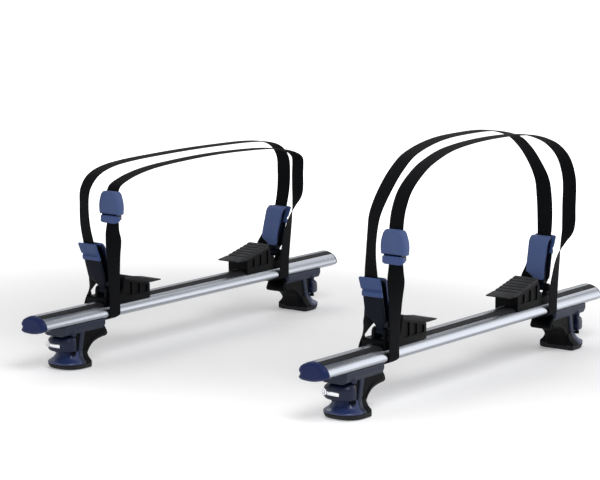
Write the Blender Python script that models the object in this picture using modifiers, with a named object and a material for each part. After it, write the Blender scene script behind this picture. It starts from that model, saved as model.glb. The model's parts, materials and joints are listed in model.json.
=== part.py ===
"""Roof-mounted carrier: two cross bars on four feet, four tilting supports and two tie-down straps.

Origin on the floor under the middle of the whole object. +X runs along the bars, +Z is up, and the
front bar lies at -Y. "Left" pieces are at -X and "right" pieces at +X. Units are metres.
"""
import math

import bmesh
import bpy
from mathutils import Matrix, Vector

MM = 0.001

# Clearances
FIT_GAP = 0.3 * MM
PIN_CLEARANCE = 0.3 * MM

# Cross bars: an aerofoil extrusion with a T-slot in its top
BAR_LENGTH = 950 * MM
BAR_SPACING = 700 * MM
BARS_MIDDLE_Y = 22 * MM
BAR_UNDERSIDE = 83 * MM
BAR_WALL = 2.4 * MM
BAR_CORE_REACH = 27 * MM
BAR_NOSE_HEIGHT = 15.5 * MM
SLOT_OFFSET = -14.5 * MM
SLOT_THROAT = 11 * MM
SLOT_POCKET_WIDTH = 17 * MM
SLOT_POCKET_HEIGHT = 6.5 * MM
SLOT_POCKET_CEILING = 29.2 * MM
STRIP_WIDTH = 13.5 * MM
STRIP_DEPTH = 1.2 * MM
STRIP_PROUD = 0.9 * MM
CAP_LENGTH = 10 * MM
CAP_PLUG_LENGTH = 14 * MM

# The bar's section (side, height), clockwise: along the underside from tail to nose and back over the top
BAR_SMOOTH_POINTS = (
    (33.9, 4.2), (27.9, 1.2), (16.8, 0.0), (2.0, 0.1), (-11.7, 2.4), (-24.6, 6.4), (-33.3, 11.5),
    (-34.7, 16.6), (-31.2, 23.9), (-25.4, 29.9), (-17.0, 34.7), (-6.8, 37.4), (5.1, 37.7),
    (18.1, 33.5), (28.3, 27.7), (33.6, 20.6),
)
# The groove in the bar's tail
BAR_GROOVE_POINTS = ((33.0, 16.6), (30.6, 14.2), (30.6, 10.4), (33.6, 7.6))

# Supports: a base on the bar, a rubber saddle, and an upright that tilts on a pin.
# Distances are outboard of the bar's middle, heights above the floor.
SUPPORT_INNER = 160 * MM
SUPPORT_LENGTH = 136 * MM
SUPPORT_OUTER = SUPPORT_INNER + SUPPORT_LENGTH
SUPPORT_WIDTH = 54 * MM
SUPPORT_LOW = BAR_UNDERSIDE + 25 * MM
DECK_HEIGHT = BAR_UNDERSIDE + 48 * MM
SADDLE_LENGTH = 77 * MM
SADDLE_OUTER = SUPPORT_INNER + SADDLE_LENGTH
SADDLE_LOW = DECK_HEIGHT + 13.5 * MM
SADDLE_RISE = 19 * MM
SADDLE_HIGH = SADDLE_LOW + SADDLE_RISE
SADDLE_PAD_THICKNESS = 8 * MM
SADDLE_PAD_TONGUE = 34 * MM
GROOVE_COUNT = 6
GROOVE_DEPTH = 1.4 * MM
HINGE_INSET = 15 * MM
HINGE_OUT = SUPPORT_OUTER - HINGE_INSET
HINGE_RISE = 13 * MM
HINGE_HEIGHT = DECK_HEIGHT + HINGE_RISE
LUG_RADIUS = 9 * MM
PIN_RADIUS = 4 * MM
PIN_HEAD_RADIUS = 6.5 * MM
PIN_HEAD_LENGTH = 3 * MM
NECK_SIDES = (-17 * MM, 1 * MM)
LUG_THICKNESS = 7 * MM
BARREL_RADIUS = 7 * MM
UPRIGHT_WIDTH = 49 * MM
PANEL_FACE = 4.5 * MM
PANEL_THICKNESS = 3.5 * MM
LIP_HEIGHT = 108.5 * MM
LIP_FLARE = 5 * MM
RIDGE_LOW = 70 * MM
RIDGE_HIGH = 79 * MM
ARM_THICKNESS = 3 * MM
PAD_THICKNESS = 5 * MM
PAD_WIDTH = 47 * MM
LEAN_DEGREES = {"front": 10.0, "rear": 17.0}
BOLT_OUT = SUPPORT_INNER + 40 * MM
BOLT_RADIUS = 3 * MM
BOLT_HEAD = 15 * MM
BOLT_HEAD_THICKNESS = 4 * MM
NUT_RADIUS = 6.5 * MM
NUT_THICKNESS = 6 * MM
NUT_SEAT = DECK_HEIGHT + 1 * MM

# Straps: flat webbing that wraps the bar between support and foot
STRAP_WIDTH = 32 * MM
STRAP_THICKNESS = 2 * MM
STRAP_OUT = HINGE_OUT + 2 * MM
STRAP_STEP = 24 * MM

# Feet
FOOT_INNER = STRAP_OUT + STRAP_WIDTH / 2 + 3 * MM
FOOT_LENGTH = 118 * MM
FOOT_OUTER = FOOT_INNER + FOOT_LENGTH
FOOT_LEG_WIDTH = 50 * MM
FOOT_SADDLE_WIDTH = 62 * MM
FOOT_SADDLE_LOW = BAR_UNDERSIDE - 13.5 * MM
SOLE_THICKNESS = 6.7 * MM
SOLE_WIDTH = 66 * MM
BASE_INNER = FOOT_OUTER - 65 * MM
BASE_NOSE = FOOT_OUTER - 29 * MM
RIM_WIDTH = 82 * MM
RIM_HEIGHT = 26 * MM
DISH_RADII = (40 * MM, 46 * MM, 18.5 * MM)
COVER_LOW = RIM_HEIGHT + 11 * MM
COVER_HIGH = BAR_UNDERSIDE - 16 * MM
COVER_BACK = FOOT_OUTER - 31 * MM
COVER_WALL_GAP = 1.6 * MM
COVER_HINGE_OUT = COVER_BACK + 4 * MM
COVER_HINGE_SIDE = -27 * MM
COVER_SIDE_HIGH = 32 * MM
COVER_BOW = 11 * MM
COVER_PIN_RADIUS = 2 * MM
COVER_BOSS_RADIUS = 5 * MM
COVER_BOSS_GAP = 0.6 * MM
LOCK_SIDE = 23.5 * MM
LOCK_HEIGHT = COVER_LOW + 13 * MM
LOCK_RADIUS = 6.3 * MM
LOCK_FACE = FOOT_OUTER - 4.5 * MM
LOCK_LENGTH = 15 * MM
SCREW_HEIGHT = COVER_LOW + 14 * MM
SCREW_HEAD_RADIUS = 8 * MM
SCREW_HEAD_LENGTH = 8 * MM
SCREW_RADIUS = 4 * MM
SCREW_LENGTH = 26 * MM

# Inboard face of the upright's curved arm, from its top end down (outboard, height over the pin)
ARM_FACE_POINTS = ((-6, 105.5), (-12.5, 102), (-18.5, 93), (-21, 80), (-21.5, 60), (-21, 38), (-17, 15))

# Buckles, on the left runs of the straps
BUCKLE_OUT = STRAP_OUT + 20 * MM
BUCKLE_SIDE = -57 * MM
BUCKLE_HEIGHT = {"front": 311.5 * MM, "rear": 322.5 * MM}
BUMPER_WIDTH = 57 * MM
BUMPER_TOP_WIDTH = 42 * MM
BUMPER_HEIGHT = 67 * MM
BUMPER_DEPTH = 14 * MM
BUMPER_WALL = 2.6 * MM
BUMPER_BACK = 3.6 * MM
WINDOW_TOP = -13.5 * MM
FRAME_WIDTH = 42 * MM
FRAME_HEIGHT = 48 * MM
FRAME_SHEET = 2 * MM
CAM_HEIGHT = -20 * MM
CAM_OUT = 6.9 * MM
CAM_RADIUS = 5 * MM
CAM_PIN_RADIUS = 2 * MM
TAB_WIDTH = 46 * MM

SIDES = {"left": -1.0, "right": 1.0}
BARS = {"front": -1.0, "rear": 1.0}

COLOURS = {
    "aluminium": ((0.80, 0.81, 0.83), 0.28, 1.0),
    "black_rubber": ((0.012, 0.013, 0.016), 0.75, 0.0),
    "cap_plastic": ((0.020, 0.024, 0.045), 0.42, 0.0),
    "foot_plastic": ((0.014, 0.017, 0.030), 0.38, 0.0),
    "slate_plastic": ((0.060, 0.085, 0.190), 0.45, 0.0),
    "slate_rubber": ((0.075, 0.105, 0.220), 0.65, 0.0),
    "chrome": ((0.75, 0.76, 0.78), 0.15, 1.0),
    "zinc_steel": ((0.55, 0.56, 0.58), 0.35, 1.0),
    "webbing": ((0.010, 0.010, 0.012), 0.85, 0.0),
}


def clear_scene():
    for item in list(bpy.data.objects):
        bpy.data.objects.remove(item, do_unlink=True)


def new_collection(name):
    collection = bpy.data.collections.new(name)
    bpy.context.scene.collection.children.link(collection)
    return collection


def material(name):
    found = bpy.data.materials.get(name)
    if found:
        return found
    colour, roughness, metallic = COLOURS[name]
    made = bpy.data.materials.new(name)
    made.use_nodes = True
    shader = made.node_tree.nodes["Principled BSDF"]
    shader.inputs["Base Color"].default_value = (*colour, 1.0)
    shader.inputs["Roughness"].default_value = roughness
    shader.inputs["Metallic"].default_value = metallic
    made.diffuse_color = (*colour, 1.0)
    return made


def catmull_rom(points, closed, steps):
    """Points on a smooth curve through the given ones, each span cut into the same number of steps."""
    vectors = [Vector(point) for point in points]
    count = len(vectors)
    spans = count if closed else count - 1
    result = []
    for index in range(spans):
        if closed:
            before, start, end, after = (vectors[(index + shift) % count] for shift in (-1, 0, 1, 2))
        else:
            before = vectors[max(index - 1, 0)]
            start = vectors[index]
            end = vectors[index + 1]
            after = vectors[min(index + 2, count - 1)]
        for step in range(steps):
            t = step / steps
            a = 2 * start
            b = end - before
            c = 2 * before - 5 * start + 4 * end - after
            d = 3 * start - before - 3 * end + after
            result.append(0.5 * (a + b * t + c * t * t + d * t * t * t))
    if not closed:
        result.append(vectors[-1])
    return result


def offset_path(points, distance, closed):
    """The same path moved sideways, to the right of its direction of travel."""
    count = len(points)
    moved = []
    for index, point in enumerate(points):
        ahead = points[(index + 1) % count] if closed else points[min(index + 1, count - 1)]
        behind = points[index - 1] if closed else points[max(index - 1, 0)]
        along = (ahead - behind).normalized()
        moved.append(point + distance * Vector((along.y, -along.x)))
    return moved


def bar_outline(offset=0.0, groove=True):
    """The bar's section as (side, height over its underside), moved outward by offset."""
    smooth = catmull_rom([Vector(point) * MM for point in BAR_SMOOTH_POINTS], False, 2)
    points = smooth + [Vector(point) * MM for point in BAR_GROOVE_POINTS] if groove else smooth
    return offset_path(points, -offset, True)


def bar_top_at(side):
    """Height of the bar's upper face over its underside at a place across it."""
    outline = [point for point in bar_outline(groove=False) if point.y > 17 * MM]
    outline.sort(key=lambda point: point.x)
    for low, high in zip(outline, outline[1:]):
        if low.x <= side <= high.x:
            share = (side - low.x) / (high.x - low.x)
            return low.y + share * (high.y - low.y)
    return outline[0].y


def finished_mesh(mesh, matrix):
    """Weld loose caps, place the mesh in the world and turn its faces outward."""
    edit = bmesh.new()
    edit.from_mesh(mesh)
    bmesh.ops.remove_doubles(edit, verts=edit.verts, dist=0.00001)
    bmesh.ops.transform(edit, matrix=matrix, verts=edit.verts)
    bmesh.ops.recalc_face_normals(edit, faces=edit.faces)
    edit.to_mesh(mesh)
    edit.free()
    return mesh


def place(mesh, name, collection, origin=(0, 0, 0)):
    """Link a mesh as an object whose own origin lies at the given point."""
    shift = Vector(origin)
    mesh.transform(Matrix.Translation(-shift))
    item = bpy.data.objects.new(name, mesh)
    item.location = shift
    collection.objects.link(item)
    return item


def outline_solid(name, points, depth, matrix, collection, origin=(0, 0, 0)):
    """A flat outline given half its depth each way, made a mesh and placed by a matrix."""
    curve = bpy.data.curves.new(name, "CURVE")
    curve.dimensions = "2D"
    curve.fill_mode = "BOTH"
    curve.extrude = depth / 2
    spline = curve.splines.new("POLY")
    spline.points.add(len(points) - 1)
    for target, point in zip(spline.points, points):
        target.co = (point[0], point[1], 0, 1)
    spline.use_cyclic_u = True
    guide = bpy.data.objects.new(name + "_outline", curve)
    collection.objects.link(guide)
    bpy.context.view_layer.update()
    mesh = bpy.data.meshes.new_from_object(guide.evaluated_get(bpy.context.evaluated_depsgraph_get()))
    bpy.data.objects.remove(guide, do_unlink=True)
    return place(finished_mesh(mesh, matrix), name, collection, origin)


def across(side, middle):
    """Frame for an outline drawn as (outboard, height) on one side, with its depth along Y."""
    return Matrix(((side, 0, 0, 0), (0, 0, 1, middle), (0, 1, 0, 0), (0, 0, 0, 1)))


def along_bar(middle_x, bar_y, base_z=0.0):
    """Frame for an outline drawn as (side, height) across the bar, with its depth along X."""
    return Matrix(((0, 0, 1, middle_x), (1, 0, 0, bar_y), (0, 1, 0, base_z), (0, 0, 0, 1)))


def flat(side, bar_y, middle_z):
    """Frame for an outline drawn as (outboard, side) in plan, with its depth along Z."""
    return Matrix(((side, 0, 0, 0), (0, 1, 0, bar_y), (0, 0, 1, middle_z), (0, 0, 0, 1)))


def cylinder(name, start, end, radius, collection, sides=16, origin=(0, 0, 0)):
    edit = bmesh.new()
    axis = Vector(end) - Vector(start)
    turn = axis.to_track_quat("Z", "Y").to_matrix().to_4x4()
    matrix = Matrix.Translation((Vector(start) + Vector(end)) / 2) @ turn
    bmesh.ops.create_cone(edit, cap_ends=True, segments=sides, radius1=radius, radius2=radius,
                          depth=axis.length, matrix=matrix)
    mesh = bpy.data.meshes.new(name)
    edit.to_mesh(mesh)
    edit.free()
    return place(finished_mesh(mesh, Matrix.Identity(4)), name, collection, origin)


def block(name, low, high, collection, origin=(0, 0, 0)):
    edit = bmesh.new()
    middle = (Vector(low) + Vector(high)) / 2
    size = Vector(high) - Vector(low)
    scale = Matrix.Diagonal((abs(size.x), abs(size.y), abs(size.z), 1))
    bmesh.ops.create_cube(edit, size=1.0, matrix=Matrix.Translation(middle) @ scale)
    mesh = bpy.data.meshes.new(name)
    edit.to_mesh(mesh)
    edit.free()
    return place(finished_mesh(mesh, Matrix.Identity(4)), name, collection, origin)


def loft(name, rings, collection, origin=(0, 0, 0)):
    """A skin through rings of equal point count, closed at both ends."""
    edit = bmesh.new()
    rows = [[edit.verts.new(point) for point in ring] for ring in rings]
    count = len(rows[0])
    for low, high in zip(rows, rows[1:]):
        for index in range(count):
            after = (index + 1) % count
            edit.faces.new((low[index], low[after], high[after], high[index]))
    edit.faces.new(rows[0])
    edit.faces.new(rows[-1])
    mesh = bpy.data.meshes.new(name)
    edit.to_mesh(mesh)
    edit.free()
    return place(finished_mesh(mesh, Matrix.Identity(4)), name, collection, origin)


def bevel(item, width, segments=2, angle=40):
    modifier = item.modifiers.new("rounded edges", "BEVEL")
    modifier.width = width
    modifier.segments = segments
    modifier.limit_method = "ANGLE"
    modifier.angle_limit = math.radians(angle)


def combine(item, other, operation):
    modifier = item.modifiers.new(operation.lower(), "BOOLEAN")
    modifier.operation = operation
    modifier.solver = "EXACT"
    modifier.object = other
    other.hide_render = True
    other.display_type = "WIRE"


def cut(item, *others):
    for other in others:
        combine(item, other, "DIFFERENCE")


def join(item, *others):
    for other in others:
        combine(item, other, "UNION")


def dress(item, finish, smooth_angle=35):
    """Give the material and smooth shading between sharp edges."""
    item.data.materials.clear()
    item.data.materials.append(material(finish))
    item.data.shade_smooth()
    item.data.set_sharp_from_angle(angle=math.radians(smooth_angle))
    return item


def strip_outline(growth, bottom):
    """Section of the slot's filler: a sloping top over a straight stem, grown for its seat."""
    half_cap = STRIP_WIDTH / 2 + growth
    half_stem = SLOT_THROAT / 2 - FIT_GAP + growth
    left = SLOT_OFFSET - half_cap
    right = SLOT_OFFSET + half_cap
    rise = STRIP_PROUD if growth == 0 else 6 * MM
    seat = -STRIP_DEPTH - growth
    return [
        Vector((left, bar_top_at(left) + seat)),
        Vector((SLOT_OFFSET - half_stem, bar_top_at(SLOT_OFFSET - half_stem) + seat)),
        Vector((SLOT_OFFSET - half_stem, bottom)),
        Vector((SLOT_OFFSET + half_stem, bottom)),
        Vector((SLOT_OFFSET + half_stem, bar_top_at(SLOT_OFFSET + half_stem) + seat)),
        Vector((right, bar_top_at(right) + seat)),
        Vector((right, bar_top_at(right) + rise)),
        Vector((left, bar_top_at(left) + rise)),
    ]


def build_bar(name, bar_y, parts, cutters):
    """The hollow extrusion and the rubber filler in its slot."""
    frame = along_bar(0, bar_y, BAR_UNDERSIDE)
    over_length = BAR_LENGTH + 40 * MM
    bar = outline_solid("bar_" + name, bar_outline(), BAR_LENGTH, frame, parts)
    inner = [point for point in bar_outline(-BAR_WALL, False) if point.x < BAR_CORE_REACH]
    core = outline_solid("core_" + name, inner, over_length, frame, cutters)
    wall_low = SLOT_POCKET_CEILING - SLOT_POCKET_HEIGHT - BAR_WALL
    half_wall = SLOT_POCKET_WIDTH / 2 + BAR_WALL
    keep = block("slot_wall_" + name,
                 (-over_length, bar_y + SLOT_OFFSET - half_wall, BAR_UNDERSIDE + wall_low),
                 (over_length, bar_y + SLOT_OFFSET + half_wall, BAR_UNDERSIDE + 60 * MM), cutters)
    cut(core, keep)
    half_pocket = SLOT_POCKET_WIDTH / 2
    pocket = block("slot_pocket_" + name,
                   (-over_length, bar_y + SLOT_OFFSET - half_pocket,
                    BAR_UNDERSIDE + SLOT_POCKET_CEILING - SLOT_POCKET_HEIGHT),
                   (over_length, bar_y + SLOT_OFFSET + half_pocket,
                    BAR_UNDERSIDE + SLOT_POCKET_CEILING), cutters)
    throat = outline_solid("slot_throat_" + name, strip_outline(FIT_GAP, SLOT_POCKET_CEILING - 1 * MM),
                           over_length, frame, cutters)
    cut(bar, core, pocket, throat)
    dress(bar, "aluminium", 25)

    strip = outline_solid("bar_strip_" + name, strip_outline(0, SLOT_POCKET_CEILING), BAR_LENGTH,
                          frame, parts)
    for side in SIDES.values():
        hole_x = side * BOLT_OUT
        hole = cylinder("strip_hole", (hole_x, bar_y + SLOT_OFFSET, BAR_UNDERSIDE),
                        (hole_x, bar_y + SLOT_OFFSET, BAR_UNDERSIDE + 60 * MM),
                        BOLT_RADIUS + PIN_CLEARANCE, cutters)
        cut(strip, hole)
    dress(strip, "black_rubber", 25)


def build_end_cap(name, side, bar_y, parts, cutters):
    """A domed cap: the bar's outline drawn in over a quarter of an ellipse, with a plug behind it."""
    outline = bar_outline()
    middle = Vector((0, 18 * MM))
    end = side * (BAR_LENGTH / 2 + FIT_GAP)
    rings = []
    for turn in (0, 28, 56, 80):
        reach = CAP_LENGTH * math.sin(math.radians(turn))
        shrink = 1 - 0.42 * (1 - math.cos(math.radians(turn)))
        ring = [middle + (point - middle) * shrink for point in outline]
        rings.append([(end + side * reach, bar_y + point.x, BAR_UNDERSIDE + point.y) for point in ring])
    cap = loft("end_cap_" + name, rings, parts)
    plug_high = SLOT_POCKET_CEILING - SLOT_POCKET_HEIGHT - BAR_WALL - 1 * MM
    plug = block("plug_" + name,
                 (end + side * 2 * MM, bar_y - 6 * MM, BAR_UNDERSIDE + BAR_WALL + 2.6 * MM),
                 (end - side * CAP_PLUG_LENGTH, bar_y + 20 * MM, BAR_UNDERSIDE + plug_high), cutters)
    join(cap, plug)
    dress(cap, "cap_plastic", 30)


def plan_ring(inner, nose, half_width, count=10):
    """A D in plan as (outboard, side): straight inboard edge, rounded nose."""
    corner = inner + 0.3 * (nose - inner)
    points = [Vector((inner, -half_width))]
    for step in range(count + 1):
        turn = math.radians(-90 + 180 * step / count)
        reach = abs(math.cos(turn)) ** 0.8
        spread = math.copysign(abs(math.sin(turn)) ** 0.8, math.sin(turn))
        points.append(Vector((corner + (nose - corner) * reach, half_width * spread)))
    points.append(Vector((inner, half_width)))
    return points


def cover_ring(inset):
    """The cover in plan: a shallow bow across the front, a round hinge end at -Y."""
    front = FOOT_OUTER - inset
    side_low = COVER_HINGE_SIDE - 4.6 * MM + inset * 0.4
    side_high = COVER_SIDE_HIGH - inset
    middle = (side_low + side_high) / 2
    half = (side_high - side_low) / 2
    bow = []
    for step in range(7):
        share = -1 + 2 * step / 6
        bow.append(Vector((front - COVER_BOW * abs(share) ** 2.6, middle + half * share * 0.94)))
    return [Vector((COVER_BACK, side_low + 1.6 * MM)), Vector((COVER_BACK + 3 * MM, side_low))] + bow + [
        Vector((COVER_BACK + 10 * MM - 0.3 * inset, side_high)), Vector((COVER_BACK, side_high))]


def ring_at(plan, side, bar_y, height):
    return [(side * point.x, bar_y + point.y, height) for point in plan]


def build_foot(name, side, bar_y, parts, cutters):
    """Sole, body, side-hinged cover, its lock and the clamping screw behind it."""
    def spot(outboard, across_bar, height):
        return Vector((side * outboard, bar_y + across_bar, height))

    sole_points = plan_ring(BASE_INNER + 1 * MM, BASE_NOSE - 1 * MM, SOLE_WIDTH / 2, 10)
    sole = outline_solid("foot_sole_" + name, sole_points, SOLE_THICKNESS,
                         flat(side, bar_y, SOLE_THICKNESS / 2), parts)
    bevel(sole, 0.9 * MM, 1)
    dress(sole, "black_rubber")

    base_low = SOLE_THICKNESS + FIT_GAP
    top = BAR_UNDERSIDE + 1 * MM
    toe = BASE_NOSE + 5 * MM
    wall = COVER_BACK - COVER_WALL_GAP
    inner_edge = [(-2, -3), (-11, -17), (-14, -24.5), (-10.5, -29.5), (4, -30.7), (18, -33), (31, -38),
                  (41, -46.5)]
    leg_points = [(FOOT_INNER + out * MM, BAR_UNDERSIDE + down * MM) for out, down in inner_edge]
    leg_points += [
        (BASE_INNER - 5.5 * MM, RIM_HEIGHT), (BASE_INNER - 1.5 * MM, RIM_HEIGHT - 11 * MM),
        (BASE_INNER, base_low), (toe, base_low), (toe, COVER_LOW - 2.2 * MM), (wall, COVER_LOW - 1 * MM),
        (wall, COVER_HIGH + 1.4 * MM), (COVER_BACK + 5 * MM, COVER_HIGH + 3.5 * MM),
        (FOOT_OUTER - 10 * MM, COVER_HIGH + 6 * MM), (FOOT_OUTER - 2 * MM, COVER_HIGH + 10 * MM),
        (FOOT_OUTER - 2 * MM, top), (FOOT_INNER - 2 * MM, top),
    ]
    leg = outline_solid("foot_body_" + name, [Vector(point) for point in leg_points],
                        FOOT_LEG_WIDTH, across(side, bar_y), parts)
    bevel(leg, 2.2 * MM, 1, 50)
    half = FOOT_SADDLE_WIDTH / 2
    lip = BAR_UNDERSIDE + 9 * MM
    bulge = BAR_UNDERSIDE - 1 * MM
    tuck = FOOT_SADDLE_LOW + 2.5 * MM
    saddle_points = [
        (-half, lip), (-half, bulge), (-half + 4 * MM, tuck), (-half + 10 * MM, FOOT_SADDLE_LOW),
        (half - 10 * MM, FOOT_SADDLE_LOW), (half - 4 * MM, tuck), (half, bulge), (half, lip),
    ]
    saddle_middle = side * (FOOT_INNER + FOOT_OUTER) / 2
    saddle = outline_solid("foot_saddle_" + name, [Vector(point) for point in saddle_points],
                           FOOT_OUTER - FOOT_INNER, along_bar(saddle_middle, bar_y), cutters)
    under_edge = [(-22, -43), (-22, -8.5), (-2, -7), (18, -7), (43, -10), (64, -16), (82, -23), (82, -43)]
    under = [Vector((FOOT_INNER + out * MM, BAR_UNDERSIDE + down * MM)) for out, down in under_edge]
    hollows = []
    for end in (-1, 1):
        flank = outline_solid("foot_flank_" + name, under, 20 * MM,
                              across(side, bar_y + end * (FOOT_LEG_WIDTH / 2 + 10.2 * MM)), cutters)
        hollows.append(flank)
    cut(saddle, *hollows)
    half_rim = RIM_WIDTH / 2
    sections = ((base_low, BASE_NOSE, SOLE_WIDTH / 2 + 1 * MM),
                (RIM_HEIGHT - 8 * MM, FOOT_OUTER - 8 * MM, half_rim - 2 * MM),
                (RIM_HEIGHT - 1.5 * MM, FOOT_OUTER, half_rim),
                (RIM_HEIGHT, FOOT_OUTER - 2 * MM, half_rim - 2 * MM))
    rings = [ring_at(plan_ring(BASE_INNER, nose, half_width), side, bar_y, height)
             for height, nose, half_width in sections]
    base = loft("foot_base_" + name, rings, cutters)
    edit = bmesh.new()
    dish_middle = Matrix.Translation(spot(FOOT_OUTER - 15 * MM, 0, COVER_LOW))
    bmesh.ops.create_uvsphere(edit, u_segments=14, v_segments=7, radius=1.0,
                              matrix=dish_middle @ Matrix.Diagonal((*DISH_RADII, 1)))
    dish_mesh = bpy.data.meshes.new("foot_dish")
    edit.to_mesh(dish_mesh)
    edit.free()
    dish = place(finished_mesh(dish_mesh, Matrix.Identity(4)), "foot_dish_" + name, cutters)
    cut(base, dish)
    boss_ends = (RIM_HEIGHT - 4 * MM, COVER_LOW - COVER_BOSS_GAP, COVER_HIGH + 2 * COVER_BOSS_GAP,
                 BAR_UNDERSIDE - 5 * MM)
    hinge = [spot(COVER_HINGE_OUT, COVER_HINGE_SIDE, height) for height in boss_ends]
    low_boss = cylinder("foot_boss_low_" + name, hinge[0], hinge[1], COVER_BOSS_RADIUS, cutters, 12)
    high_boss = cylinder("foot_boss_high_" + name, hinge[2], hinge[3], COVER_BOSS_RADIUS, cutters, 12)
    join(leg, saddle, base, low_boss, high_boss)
    seat = outline_solid("bar_seat_" + name, bar_outline(FIT_GAP, False), 2 * FOOT_LENGTH,
                         along_bar(saddle_middle, bar_y, BAR_UNDERSIDE), cutters)
    pin_hole = cylinder("cover_pin_hole_" + name, spot(COVER_HINGE_OUT, COVER_HINGE_SIDE, COVER_LOW - 7 * MM),
                        spot(COVER_HINGE_OUT, COVER_HINGE_SIDE, COVER_HIGH + 7 * MM),
                        COVER_PIN_RADIUS + PIN_CLEARANCE, cutters, 8)
    screw_hole = cylinder("screw_hole_" + name, spot(wall - SCREW_LENGTH - 11 * MM, 0, SCREW_HEIGHT),
                          spot(FOOT_OUTER, 0, SCREW_HEIGHT), SCREW_RADIUS + FIT_GAP, cutters, 10)
    cut(leg, seat, pin_hole, screw_hole)
    dress(leg, "foot_plastic", 30)

    hinge_point = spot(COVER_HINGE_OUT, COVER_HINGE_SIDE, 0)
    levels = ((COVER_LOW, 3 * MM), (COVER_LOW + 4 * MM, 0.4 * MM), (COVER_HIGH - 8 * MM, 1.0 * MM),
              (COVER_HIGH - 3 * MM, 4.5 * MM), (COVER_HIGH, 11 * MM))
    rings = [ring_at(cover_ring(inset), side, bar_y, height) for height, inset in levels]
    cover = loft("foot_cover_" + name, rings, parts, hinge_point)
    pin = cylinder("cover_pin_" + name, spot(COVER_HINGE_OUT, COVER_HINGE_SIDE, COVER_LOW - 5 * MM),
                   spot(COVER_HINGE_OUT, COVER_HINGE_SIDE, COVER_HIGH + 5 * MM), COVER_PIN_RADIUS, cutters, 8)
    join(cover, pin)
    room = block("cover_room_" + name, spot(COVER_BACK - 9 * MM, -15 * MM, COVER_LOW + 4 * MM),
                 spot(COVER_BACK + 15 * MM, 14 * MM, COVER_HIGH - 6 * MM), cutters)
    lock_back = LOCK_FACE - LOCK_LENGTH
    lock_bore = cylinder("lock_bore_" + name, spot(lock_back - FIT_GAP, LOCK_SIDE, LOCK_HEIGHT),
                         spot(FOOT_OUTER + 20 * MM, LOCK_SIDE, LOCK_HEIGHT), LOCK_RADIUS + PIN_CLEARANCE,
                         cutters, 20)
    cut(cover, room, lock_bore)
    dress(cover, "foot_plastic", 40)

    lock_point = spot(LOCK_FACE, LOCK_SIDE, LOCK_HEIGHT)
    lock = cylinder("foot_lock_" + name, spot(lock_back, LOCK_SIDE, LOCK_HEIGHT), lock_point,
                    LOCK_RADIUS, parts, 20, lock_point)
    key_slot = block("key_slot_" + name,
                     lock_point - Vector((side * 1.6 * MM, 0.7 * MM, 3.6 * MM)),
                     lock_point + Vector((side * 2 * MM, 0.7 * MM, 3.6 * MM)), cutters)
    cut(lock, key_slot)
    dress(lock, "chrome")

    face = wall + FIT_GAP
    screw = cylinder("foot_screw_" + name, spot(face, 0, SCREW_HEIGHT),
                     spot(face + SCREW_HEAD_LENGTH, 0, SCREW_HEIGHT), SCREW_HEAD_RADIUS, parts)
    shank = cylinder("screw_shank_" + name, spot(face - SCREW_LENGTH, 0, SCREW_HEIGHT),
                     spot(face + 1 * MM, 0, SCREW_HEIGHT), SCREW_RADIUS, cutters, 10)
    socket = cylinder("screw_socket_" + name, spot(face + 3 * MM, 0, SCREW_HEIGHT),
                      spot(face + 12 * MM, 0, SCREW_HEIGHT), 3.2 * MM, cutters, 6)
    join(screw, shank)
    cut(screw, socket)
    dress(screw, "zinc_steel")


def saddle_top(outboard, lift=0.0):
    """Height of the sloping top of the support's base."""
    return SADDLE_LOW + SADDLE_RISE * (outboard - SUPPORT_INNER) / SADDLE_LENGTH + lift


def saddle_pad_points():
    """Side view of the saddle rubber: grooved top, thin tongue over the inboard end."""
    land = SADDLE_LENGTH / GROOVE_COUNT
    top = [Vector((SADDLE_OUTER, saddle_top(SADDLE_OUTER, SADDLE_PAD_THICKNESS - 1 * MM)))]
    for index in range(GROOVE_COUNT):
        outer = SADDLE_OUTER - index * land
        start = outer - 3 * MM
        end = outer - land + 1 * MM
        top.append(Vector((start, saddle_top(start, SADDLE_PAD_THICKNESS))))
        top.append(Vector((end, saddle_top(end, SADDLE_PAD_THICKNESS))))
        top.append(Vector((end - 0.7 * MM, saddle_top(end, SADDLE_PAD_THICKNESS - GROOVE_DEPTH))))
        top.append(Vector((end - 2.3 * MM, saddle_top(end, SADDLE_PAD_THICKNESS - GROOVE_DEPTH - 0.4 * MM))))
    tip_height = saddle_top(SUPPORT_INNER, SADDLE_PAD_THICKNESS) - 5.5 * MM
    top.append(Vector((SUPPORT_INNER - 4 * MM, saddle_top(SUPPORT_INNER, SADDLE_PAD_THICKNESS - 1 * MM))))
    top.append(Vector((SUPPORT_INNER - SADDLE_PAD_TONGUE, tip_height)))
    top.append(Vector((SUPPORT_INNER - SADDLE_PAD_TONGUE, tip_height - 2.4 * MM)))
    top.append(Vector((SUPPORT_INNER - 2 * MM, saddle_top(SUPPORT_INNER, FIT_GAP - 0.5 * MM))))
    top.append(Vector((SADDLE_OUTER, saddle_top(SADDLE_OUTER, FIT_GAP))))
    return top


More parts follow.
